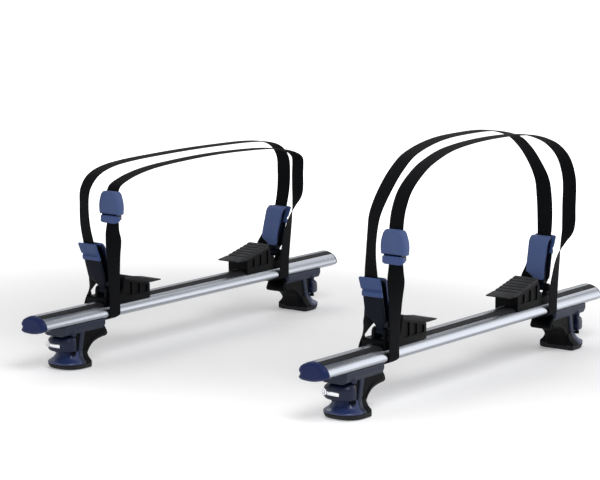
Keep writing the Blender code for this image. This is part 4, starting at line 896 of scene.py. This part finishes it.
def makeSole():
    # a rubber block on the floor, and the thin skirt of the same rubber that laps up to the base's rim
    s, inner = soleShape, footShape["baseInner"]
    rings = [planRing(inner + s["blockGap"] + inset, s["nose"] - inset, s["half"] - inset)
             for _, inset in s["block"]]
    block = ringStack("sole", rings, [height for height, _ in s["block"]])
    levels = smoothCurve(s["skirt"], 3)
    rings = [planRing(inner + s["skirtGap"], nose, half) for _, nose, half in levels]
    return joinForms(block, [ringStack("soleSkirt", rings, levels[:, 0])])


screwShape = {"face": 387.7, "height": 51, "head": 8, "headRadius": 8, "socket": (3, 12), "socketRadius": 3.2,
              "shank": (-26, 1), "shankRadius": 4}


def makeScrew():
    # socket-head screw behind the cover, its head against the wall
    s = screwShape
    spot = lambda out: (s["face"] + out, 0, s["height"])
    head = rod("screwHead", spot(0), spot(s["head"]), s["headRadius"], columns=64, rounding=0.8)
    cutAway(head, [rod("socket", *map(spot, s["socket"]), s["socketRadius"], columns=6)])
    return joinForms(head, [rod("screwShank", *map(spot, s["shank"]), s["shankRadius"], rounding=0.6)])


body, saddle = makeFootBody()
toe, heel, ribFoot = makeFootBase()
placeAtCorners((
    (joinForms(body, [heel]), "footBody", "blackNylon", 60, None, "foot_body", atCorner),
    # the saddle in the lighter nylon: painted light on it and a painted highlight on the rib
    (joinForms(saddle, [ribFoot]), "footSaddle", "paintedLightNylon", 60, None, None, atCorner),
    # the toe's lighter blue is partly a painted reflection
    (toe, "footBase", "navyReflectionNylon", 50, None, None, atCorner),
    (makeScrew(), "footScrew", "zinc_steel", 35, None, "foot_screw", atCorner),
    (makeSole(), "footSole", "black_rubber", 40, None, "foot_sole", atCorner),
    (makeCover(), "footCover", "foot_plastic", 45, "foot_cover", "foot_cover", atCorner),
    (makeBadge(), "badgePlate", "chrome", 40, "foot_cover", None, atCorner),
    (makeLock(), "lockBarrel", "chrome", 35, "foot_lock", "foot_lock", atCorner)))
print("feet made")


# Support bases and their ribbed saddle rubbers, drawn as the feet are

supportShape = {"inner": 160, "outer": 296, "half": 27, "low": 108, "deck": 131, "ease": 1.4, "bevel": 3,
                "saddleOuter": 237, "saddleLow": 144.5, "saddleRise": 19,
                # the step down to the deck: (outboard, down) from the saddle, (outboard, up) from the deck
                "brow": (4.5, 3), "foot": (9, 9), "landing": 16,
                "lugRadius": 9, "lugFoot": (-17, 10), "lugSink": 4, "lugs": ((-24.3, -17.3), (1.3, 8.3)),
                "pockets": 3, "pocketFrom": 8, "pocketRib": 6, "pocketEnd": 5, "pocketWall": 2.4,
                "pocketRoof": 5, "pocketSink": 4, "cutterReach": 20, "barSeat": (1.2, 140, 320),
                "boltOut": 200, "wellRadius": 9.5, "well": (132, 180)}


def slopeAt(outboard, lift=0.0):
    # a place over the base's sloping top, as (outboard, height)
    s = supportShape
    share = (outboard - s["inner"]) / (s["saddleOuter"] - s["inner"])
    return outboard, s["saddleLow"] + s["saddleRise"] * share + lift


def makeSupportBase():
    # a wedge with a low deck outboard, two round hinge lugs, pockets in both flanks and a well for the nut
    s = supportShape
    inner, outer, deck, half, end = s["inner"], s["saddleOuter"], s["deck"], s["half"], s["outer"]
    (_, high), (browOut, browDown), (footOut, footUp) = slopeAt(outer), s["brow"], s["foot"]
    outline = [(inner, s["low"]), slopeAt(inner), slopeAt(outer), (outer + browOut, high - browDown),
               (outer + footOut, deck + footUp), (outer + s["landing"], deck), (end - s["bevel"], deck),
               (end, deck - s["bevel"]), (end, s["low"])]
    base = easedSweep("supportBase", roundCorners(outline, radius=2.5), -half, half, s["ease"])
    arc = np.radians(np.linspace(0, 180, 25))
    eye = (hinge["out"], hinge["height"]) + s["lugRadius"] * np.stack([np.cos(arc), np.sin(arc)], 1)
    eye = np.vstack([eye, [(hinge["out"] + out, deck - s["lugSink"]) for out in s["lugFoot"]]])
    lugs = [easedSweep("lug", eye, low, top, ease=0.7) for low, top in s["lugs"]]
    step, floor = (outer - inner - s["pocketEnd"]) / s["pockets"], deck - s["pocketSink"]
    cutters = []
    for start in inner + s["pocketFrom"] + np.arange(s["pockets"]) * step:
        stop = start + step - s["pocketRib"]
        roof = [slopeAt(place, -s["pocketRoof"]) for place in (stop, start)]
        pocket = roundCorners([(start, floor), (stop, floor), *roof], radius=2, steps=4)
        cutters += onBothFlanks("pocket", pocket, half - s["pocketWall"], half + s["cutterReach"])
    well = [(s["boltOut"], slotSide, height) for height in s["well"]]
    cutAway(base, cutters + [barCutter(*s["barSeat"]), rod("nutWell", *well, s["wellRadius"])])
    return joinForms(base, lugs)


padShape = {"thickness": 8, "edgeDrop": 1, "seat": -0.5, "ease": 0.3, "ribs": 6,
            # a land's ends in from its outer edge and over its inner one, then the groove as (inboard, depth)
            "landEnds": (3, 1), "groove": ((0.7, 1.6), (2.3, 2.0)),
            "tongue": 34, "tongueDrop": 5.5, "tongueThickness": 2.4, "tongueTop": 4, "tongueRoot": 2}


def makeSaddlePad():
    # grooved top: each land ends in a rounded groove, with a thin tongue over the inboard end
    s, inner, outer, half = padShape, supportShape["inner"], supportShape["saddleOuter"], supportShape["half"]
    thick, land = s["thickness"], (outer - inner) / s["ribs"]
    outline = [slopeAt(outer, thick - s["edgeDrop"])]
    for edge in outer - np.arange(s["ribs"]) * land:
        start, end = edge - s["landEnds"][0], edge - land + s["landEnds"][1]
        outline += [slopeAt(start, thick), slopeAt(end, thick)]
        outline += [(end - inboard, slopeAt(end, thick - depth)[1]) for inboard, depth in s["groove"]]
    tip, tipTop = inner - s["tongue"], slopeAt(inner, thick - s["tongueDrop"])[1]
    outline += [(inner - s["tongueTop"], slopeAt(inner, thick - s["edgeDrop"])[1]), (tip, tipTop),
                (tip, tipTop - s["tongueThickness"]), (inner - s["tongueRoot"], slopeAt(inner, s["seat"])[1]),
                slopeAt(outer, s["seat"])]
    return easedSweep("saddlePad", roundCorners(outline, radius=0.9, steps=4), -half, half, s["ease"])


# head, shank and tail as (from, to, radius, rounding) along the pin, clear of the lugs
pinShape = ((-27.6, -24.6, 6.5, 0.9), (-25.6, 9.6, 4, 0.0), (8.6, 10.2, 5.4, 0.6))


def makeHingePin():
    # flanged head, shank through the lugs and the riveted tail
    at = lambda side: (hinge["out"], side, hinge["height"])
    head, *rest = (rod("pin", at(start), at(end), radius, rounding=rounding)
                   for start, end, radius, rounding in pinShape)
    return joinForms(head, rest)


# Uprights: drawn straight over the hinge pin as (outboard, height, sideways), then leaned outboard

uprightShape = {"panelHalf": 24.5, "armHalf": 23.5, "neckSides": (-17, 1), "barrel": 7, "padThickness": 5,
                "armThickness": 3, "pocket": 0.3, "ridgeLow": 70, "lipHigh": 108.5, "waist": 2.2,
                "middleRings": 5,
                "panel": ((4.5, 8), (4.5, 71), (1, 71), (1, 8)),
                "lip": ((4.5, 69), (7.4, 70), (7.9, 72.4), (7.5, 77.6), (4.7, 80.2), (4.3, 82.2), (7.7, 85.2),
                        (9.5, 107), (8, 108.5), (6.5, 108), (3.6, 87), (1, 70)),
                "neck": ((-11.5, 10), (-10.5, 24), (-7, 22), (-3, 15), (0.6, 22), (1.2, 36), (4.1, 36),
                         (4.1, 2), (-2, -3)),
                "arm": ((-6, 105.5), (-12.5, 102), (-18.5, 93), (-21, 80), (-21.5, 60), (-21, 38), (-17, 15)),
                # how far the open side and the strap's side reach, as (height, reach)
                "openSide": ((12, 1), (19, 3.5), (24, 8), (27.5, 15), (29.5, 23), (33, 60)),
                "strapSide": ((10, 17), (18, 20), (24, 25), (30, 60))}


def shapedSweep(name, outline, half, ease, corner=0.0):
    # an outline (outboard, height) carried across the upright; its two sides follow the cut-outs above the
    # neck, widen by a smooth step from the ridge to the lip, and round off at the top by the corner radius
    s = uprightShape
    outline = densify(np.asarray(outline, float))
    height = outline[:, 1]
    rise = np.clip((height - s["ridgeLow"]) / (s["lipHigh"] - s["ridgeLow"]), 0, 1)
    half = half - s["waist"] * (1 - rise * rise * (3 - 2 * rise))
    high = np.minimum(np.interp(height, *np.transpose(s["openSide"])), half)
    low = -np.minimum(np.interp(height, *np.transpose(s["strapSide"])), half)
    if corner:
        over = np.clip((height - (height.max() - corner)) / corner, 0, 1)
        # a quarter circle that stops just short of level
        pull = corner * (1 - np.sqrt(1 - over ** 2 * 0.999))
        high, low = high - pull, low + pull
    depth, inset = quarterRim(outline, ease)
    shares = np.linspace(0, 1, s["middleRings"] + 2)[1:-1]
    places = ([low + d for d in depth] + [low + (high - low) * share for share in shares]
              + [high - d for d in depth[::-1]])
    pulls = [*inset, *(0 * shares), *inset[::-1]]
    return gridObject(name, np.stack([ringAt(offsetCurve(outline, pull), place, acrossBar)
                                      for place, pull in zip(places, pulls)]))


def makeUprightParts():
    # returns the moulding, its lip and the rubber facing, each in millimetres over the pin
    s = uprightShape
    facing = smoothCurve(s["arm"], 5)
    padInner, armOuter, armInner = (offsetCurve(facing, s["padThickness"] + more, closed=False)
                                    for more in (0, s["pocket"], s["pocket"] + s["armThickness"]))
    moulding = shapedSweep("upright", roundCorners(s["panel"], radius=0.8, steps=3), s["panelHalf"], ease=0.9)
    arm = shapedSweep("uprightArm", np.vstack([armOuter, armInner[::-1]]), s["armHalf"], ease=0.8)
    neck = easedSweep("uprightNeck", roundCorners(s["neck"], radius=2, steps=4), *s["neckSides"], ease=0.8)
    barrel = rod("uprightBarrel", *((0, side, 0) for side in s["neckSides"]), s["barrel"], rounding=0.6)
    # the lip is drawn in lighter slate blue than the moulding: a painted reflection of the floor
    flared = roundCorners(s["lip"], radius=1.2, steps=4)
    lip = shapedSweep("uprightLip", flared, s["panelHalf"], ease=0.6, corner=3)
    pad = shapedSweep("uprightPad", np.vstack([facing, padInner[::-1]]), s["armHalf"], ease=1.2, corner=2.5)
    return joinForms(moulding, [arm, neck, barrel]), lip, pad


moulding, lip, facing = makeUprightParts()
placeAtCorners((
    (makeSupportBase(), "supportBase", "blackNylon", 40, None, "support_base", atCorner),
    (makeSaddlePad(), "saddlePad", "black_rubber", 40, None, "saddle_pad", atCorner),
    (makeHingePin(), "hingePin", "slate_plastic", 40, None, "hinge_pin", atCorner),
    (moulding, "uprightMoulding", "slate_plastic", 40, "upright", "upright", leanedAtCorner),
    # the lip's lighter blue is a painted reflection of the floor
    (lip, "uprightLip", "slatePlastic", 40, "upright", None, leanedAtCorner),
    (facing, "uprightFacing", "slate_rubber", 40, "upright", "upright_pad", leanedAtCorner)))
print("supports made")


# Straps: flat webbing from the buckle under the bar, through the upright, over the top and back

strapShape = {"width": 32, "thickness": 2, "selvedge": 0.45, "face": 0.6, "faceShare": 0.92, "around": 32,
              "out": 279.5, "step": 4.0, "wrapGap": 1.9, "wrapTop": 15.5,
              "buckleOut": 303, "buckleSide": -57, "buckleHeight": {"front": 311.5, "rear": 322.5},
              # heights over the buckle's middle: inner end, way out below, outer end
              "innerEnd": 14, "wayOut": -22, "outerEnd": 24.5,
              # heights between which a riser bends, and the rear run's station where its shoulder ends
              "riser": (104, 150), "shoulder": 3,
              # from the bar's tail up to the upright, then through its channel, drawn over the hinge pin
              "tail": ((-279.5, 36.2, 104, 4), (-279.8, 36.2, 120, 14), (-281, 33.8, 137, 34),
                       (-282.5, 27.4, 151, 58)),
              "channel": ((-5.0, 20.5, 22, 78), (-5.8, 15, 38, 84), (-5.8, 9, 60, 86), (-4.2, 3.5, 82, 87),
                          (1.1, 0.6, 98, 86), (2.4, 0, 107, 86))}
# stations are (x, sideways, height, turn of the width from +X in degrees)
rearRun = {"front": ((-303, 0, 290, 72), (-299.5, 0, 328, 70), (-290, 0, 366, 78), (-259, 0, 407, 88),
                     (-222, 0, 441, 90), (-179, 0, 466, 90), (-96, 0, 484, 90), (0, 0, 488, 90)),
           "rear": ((-324, 0, 285, 82), (-326, 0, 325, 78), (-322, 0, 356, 82), (-300, 0, 381, 88),
                    (-262, 0, 395, 90), (-200, 0, 402, 90), (-100, 0, 405, 90), (0, 0, 406, 90))}
frontRun = {"front": ((-279.5, -36.5, 112, 0), (-279.8, -37.5, 140, 0), (-281.5, -39.5, 168, -5),
                      (-286, -44.5, 213, -20), (-294, -50.5, 242, -50), (-301, -55.5, 262, -78),
                      (-303, -57, 282, -90)),
            "rear": ((-279.5, -36.5, 112, 0), (-280.5, -37.5, 140, 0), (-284, -40, 175, -5),
                     (-290, -45, 222, -20), (-296, -51, 252, -48), (-302, -55, 274, -78),
                     (-303, -57, 294, -90))}
overBuckle = {"front": ((-302.5, -58, 356, -90), (-297, -58.5, 380, -90), (-280, -59, 411, -90),
                        (-251, -60, 436, -90), (-210, -60, 457, -90), (-134, -60, 476, -90),
                        (0, -60, 483, -90)),
              "rear": ((-302.5, -58, 357, -90), (-296, -58, 366, -90), (-280, -59, 374, -90),
                       (-245, -60, 384, -90), (-190, -60, 392, -90), (-100, -60, 397, -90),
                       (0, -60, 399, -90))}


def channelStations(barName):
    # from the bar's tail up through the leaning upright's channel and slot, on the left
    stations = list(strapShape["tail"])
    for inChannel, sideways, up, turn in strapShape["channel"]:
        out, height = leaned(barName, inChannel, up)
        stations.append((-hinge["out"] - out, sideways, hinge["height"] + height, turn))
    return stations


def wrapStations():
    # round the bar's underside from nose to tail, just off its outline
    outward = offsetCurve(smoothCurve(barShape["section"], 2), strapShape["wrapGap"])
    lower = outward[outward[:, 1] < strapShape["wrapTop"]]
    lower = lower[np.argsort(lower[:, 0])]
    return [(-strapShape["out"], a, barShape["underside"] + b, 0) for a, b in lower]


def mirrored(stations):
    # the same stretch on the right
    return [(-x, sideways, height, 180 - turn) for x, sideways, height, turn in stations]


def strapCurve(stations):
    # cubic Hermite through the stations; the slope at each is the chord between its neighbours
    p = np.array(stations, float)
    knots = np.concatenate([[0], np.cumsum(np.linalg.norm(np.diff(p[:, :3], axis=0), axis=1))])
    index = np.arange(len(p))
    low, high = np.maximum(index - 1, 0), np.minimum(index + 1, len(p) - 1)
    slope = (p[high] - p[low]) / (knots[high] - knots[low])[:, None]
    rows, marks = [], [0]
    for i in range(len(p) - 1):
        span = knots[i + 1] - knots[i]
        count = max(1, round(span / strapShape["step"]))
        t = (np.arange(count) / count)[:, None]
        rows.append((2 * t ** 3 - 3 * t ** 2 + 1) * p[i] + (t ** 3 - 2 * t ** 2 + t) * slope[i] * span
                    + (3 * t ** 2 - 2 * t ** 3) * p[i + 1] + (t ** 3 - t ** 2) * slope[i + 1] * span)
        marks.append(marks[-1] + count)
    return np.vstack(rows + [p[-1:]]), marks


def ribbonFrames(rows):
    # for each row its middle and the directions of the webbing's width and thickness
    middle = rows[:, :3]
    along = np.gradient(middle, axis=0)
    along /= np.linalg.norm(along, axis=1)[:, None]
    turn = np.radians(rows[:, 3])
    wide = np.stack([np.cos(turn), np.sin(turn), np.zeros(len(rows))], 1)
    wide -= np.sum(wide * along, 1)[:, None] * along
    wide /= np.linalg.norm(wide, axis=1)[:, None]
    return middle, wide, np.cross(along, wide)


def makeRibbon(name, middle, wide, thick, travelled, barY):
    # webbing section, a superellipse: flat faces that thin towards the rounded selvedges
    s = strapShape
    around = np.linspace(0, 2 * math.pi, s["around"], endpoint=False)
    power = lambda value, exponent: np.sign(value) * np.abs(value) ** exponent
    across = s["width"] / 2 * power(np.cos(around), s["selvedge"])
    up = s["thickness"] / 2 * s["faceShare"] * power(np.sin(around), s["face"])
    grid = (middle[:, None] + across[None, :, None] * wide[:, None] + up[None, :, None] * thick[:, None]) * mm
    grid[..., 1] += barY
    uv = np.stack(np.broadcast_arrays(across[None] * mm, travelled[:, None] * mm), -1)
    return gridObject(name, grid, uv=uv)


def makeStrap(barName, barY):
    # one route, cut into ribbons; one that leads to or from an upright rides on no body and has its transform
    # baked
    s = strapShape
    front, over, rear = (list(run[barName]) for run in (frontRun, overBuckle, rearRun))
    channel, wrap = channelStations(barName), wrapStations()
    x, side, buckle = -s["buckleOut"], s["buckleSide"], s["buckleHeight"][barName]
    atBuckle = lambda lift, turn=-90: (x, side, buckle + lift, turn)
    down = [atBuckle(s["innerEnd"]), atBuckle(s["wayOut"])] + front[::-1]
    left = down + wrap + channel + rear
    right = (mirrored((channel + rear[:-1])[::-1]) + mirrored(wrap[::-1])
             + mirrored(front + [atBuckle(0)] + over[:-1]))
    back = [(x, sideways, height, turn + 360) for x, sideways, height, turn in over[::-1]]
    rows, marks = strapCurve(left + right + back + [atBuckle(s["outerEnd"], 270)])
    middle, wide, thick = ribbonFrames(rows)
    travelled = np.concatenate([[0], np.cumsum(np.linalg.norm(np.diff(middle, axis=0), axis=1))])
    count = len(down) + len(wrap)
    tail, slot, top = marks[count], marks[count + len(channel) - 1], marks[len(left) - 1]
    slotRight, tailRight = marks[len(left) + len(rear) - 1], marks[len(left) + len(rear) + len(channel) - 2]
    point = lambda x, sideways, height: (x * mm, barY + sideways * mm, height * mm)
    low, high = (point(0, 0, height) for height in s["riser"])
    turnX, _, height, _ = rear[s["shoulder"]]
    shoulder, shoulderRight = point(turnX, 0, height), point(-turnX, 0, height)
    sections = (("leftRun", 0, tail, None),
                ("leftRiser", tail, slot, ("root", "left", low, high)),
                ("leftShoulder", slot, top, ("left", "root", point(*middle[slot]), shoulder)),
                ("rightShoulder", top, slotRight,
                 ("root", "right", shoulderRight, point(*middle[slotRight]))),
                ("rightRiser", slotRight, tailRight, ("right", "root", high, low)),
                ("rightRun", tailRight, len(rows) - 1, None))
    for part, first, last, crossing in sections:
        span = slice(first, last + 1)
        item = makeRibbon("strap_" + barName + "_" + part, middle[span], wide[span], thick[span],
                          travelled[span], barY)
        finishPiece(item, None if crossing else "root", "webbing", 60, "strap_" + barName)
        if crossing:
            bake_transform(item)


# Buckles, drawn with outboard along +X: pressed steel frame, spring-loaded lever with its thumb tab,
# and a rubber bumper over them

buckleShape = {"frameHalf": 21, "frameHeight": 48, "sheet": 2, "sheetOut": -1.3, "wall": 2.6, "depth": 14,
               "cheek": ((-3.3, -24), (4.9, -25), (10.3, -21), (10.3, -16), (6.5, 19), (4, 23), (-3.3, 23)),
               # the bar for the webbing: outboard, half length, height, radius
               "crossBar": (3.2, 20.5, 19, 1.7)}
# right half of the bumper's outline (sideways, height), then its rings as (outboard, scale)
bumperShape = {"outline": ((25.5, -13.5), (27.3, -12.7), (28.5, 2), (27, 14), (22, 28.5), (17, 33.5)),
               "middle": (0.0, 10.0), "back": ((-3.6, 0.968), (-3.1, 0.99), (-2, 1), (0, 1), (7.5, 1)),
               # front edge as a quarter ellipse from the last of these, and the crown inside it
               "edgeFrom": 7.5, "edgeDepth": 5.6, "edgeDraw": 0.17, "edgeTurn": (12, 84, 8), "crown": 0.9,
               "crownShares": (0.9, 0.75, 0.55, 0.3, 0.05),
               # the hollow round the frame and the way up for the webbing
               "hollowGap": 1.2, "hollowTop": 0.5, "reach": 60, "behind": -20, "wayHalf": 17, "wayDepth": 1.6}


def makeBumper():
    # outline across and up, stacked outboard; the front edge turns in and the face is slightly crowned
    s, b = buckleShape, bumperShape
    curve = densify(roundCorners(bothSides(b["outline"]), radius=5, steps=7), step=2.0)
    rings = list(b["back"])
    rings += [(b["edgeFrom"] + b["edgeDepth"] * math.sin(turn), 1 - b["edgeDraw"] * (1 - math.cos(turn)))
              for turn in np.radians(np.linspace(*b["edgeTurn"]))]
    last = rings[-1][1]
    rings += [(s["depth"] - b["crown"] * share ** 2, last * share) for share in b["crownShares"]]
    bumper = scaledRings("bumper", curve, b["middle"], rings)
    half, top = s["frameHalf"] + b["hollowGap"], s["frameHeight"] / 2 + b["hollowTop"]
    back, reach, way = b["behind"], b["reach"], b["wayHalf"]
    cutAway(bumper, [box("hollow", (back, -half, -reach), (s["depth"] - s["wall"], half, top)),
                     box("strapWay", (back, -way, 0), (b["wayDepth"], way, reach))])
    return bumper


leverShape = {"pivot": (6.9, -20), "rollerRadius": 5, "rollerHalf": 18.7, "pinRadius": 2, "pinHalf": 21.4,
              "stem": ((4.9, -23), (3.9, -29), (6.9, -30.4), (11.5, -29.6), (12.4, -22), (9.4, -16.5)),
              # left half of the tab's outline (sideways, height) and its rings as (outboard, scale)
              "tab": ((-21.8, -15.4), (-21.9, -23.5), (-23.2, -26.5), (-22.4, -28.5), (-17, -31)),
              "tabMiddle": (0.0, -24.5), "tabRings": ((9.2, 0.97), (9.6, 1), (11.6, 1), (12.8, 0.975),
                                                      (13.4, 0.93), (13.7, 0.8), (13.9, 0.5), (14.0, 0.1)),
              "wall": ((2.4, -26), (2.4, -16.6), (11.8, -16.6), (11.8, -27.8)), "wallDepth": (21.35, 23.1)}


def makeLever():
    # cam roller and pin, the stem under them, and in front the crowned tab with a wall at either end
    s = leverShape
    half, (out, up) = s["rollerHalf"], s["pivot"]
    stem = easedSweep("leverStem", roundCorners(s["stem"], radius=1.6, steps=4), -half, half, ease=0.5)
    outline = densify(roundCorners(bothSides(s["tab"]), radius=2.2, steps=6))
    tab = scaledRings("leverTab", outline, s["tabMiddle"], s["tabRings"])
    walls = wallPair("leverWall", roundCorners(s["wall"], radius=1.8), *s["wallDepth"], ease=0.6)
    roller = rod("leverRoller", (out, -half, up), (out, half, up), s["rollerRadius"], rounding=0.5)
    pin = rod("leverPin", (out, -s["pinHalf"], up), (out, s["pinHalf"], up), s["pinRadius"], rounding=0.4)
    return joinForms(stem, [tab, roller, pin] + walls)


def makeBuckleFrame():
    # a back plate with two cheeks, and the bar over which the webbing turns
    s = buckleShape
    half, face = s["frameHalf"], s["sheetOut"]
    back, high, low = face - s["sheet"], s["frameHeight"] / 2 - 1, -s["frameHeight"] / 2
    sheet = roundCorners([(back, low), (face, low), (face, high), (back, high)], radius=0.4, steps=3)
    plate = easedSweep("framePlate", sheet, -half, half, ease=0.4)
    cheek = roundCorners(s["cheek"], radius=1.5, steps=4)
    cheeks = wallPair("cheek", cheek, half - s["sheet"], half, ease=0.35)
    out, reach, up, radius = s["crossBar"]
    return joinForms(plate, cheeks + [rod("crossBar", (out, -reach, up), (out, reach, up), radius)])


def onStrap(barName):
    # buckles stand on the left runs, so outboard is -X
    s = strapShape
    return lambda x, y, z: (-(s["buckleOut"] + x) * mm, barYs[barName] + (s["buckleSide"] + y) * mm,
                            (s["buckleHeight"][barName] + z) * mm)


buckleParts = (
    (makeBumper(), "buckleBumper", "slate_rubber", 50, None, "buckle_bumper", onStrap),
    (makeLever(), "camLever", "slatePlastic", 40, "cam_lever", "cam_lever", onStrap),
    # the frame darkened: painted shade beside and under the bumper
    (makeBuckleFrame(), "buckleFrame", "shadeDarkSteel", 35, None, "buckle_frame", onStrap))
for barName, barY in barYs.items():
    makeStrap(barName, barY)
    placePieces(buckleParts, "_" + barName, barName)
deleteForms(buckleParts)
print("straps and buckles made")

print("scene built")
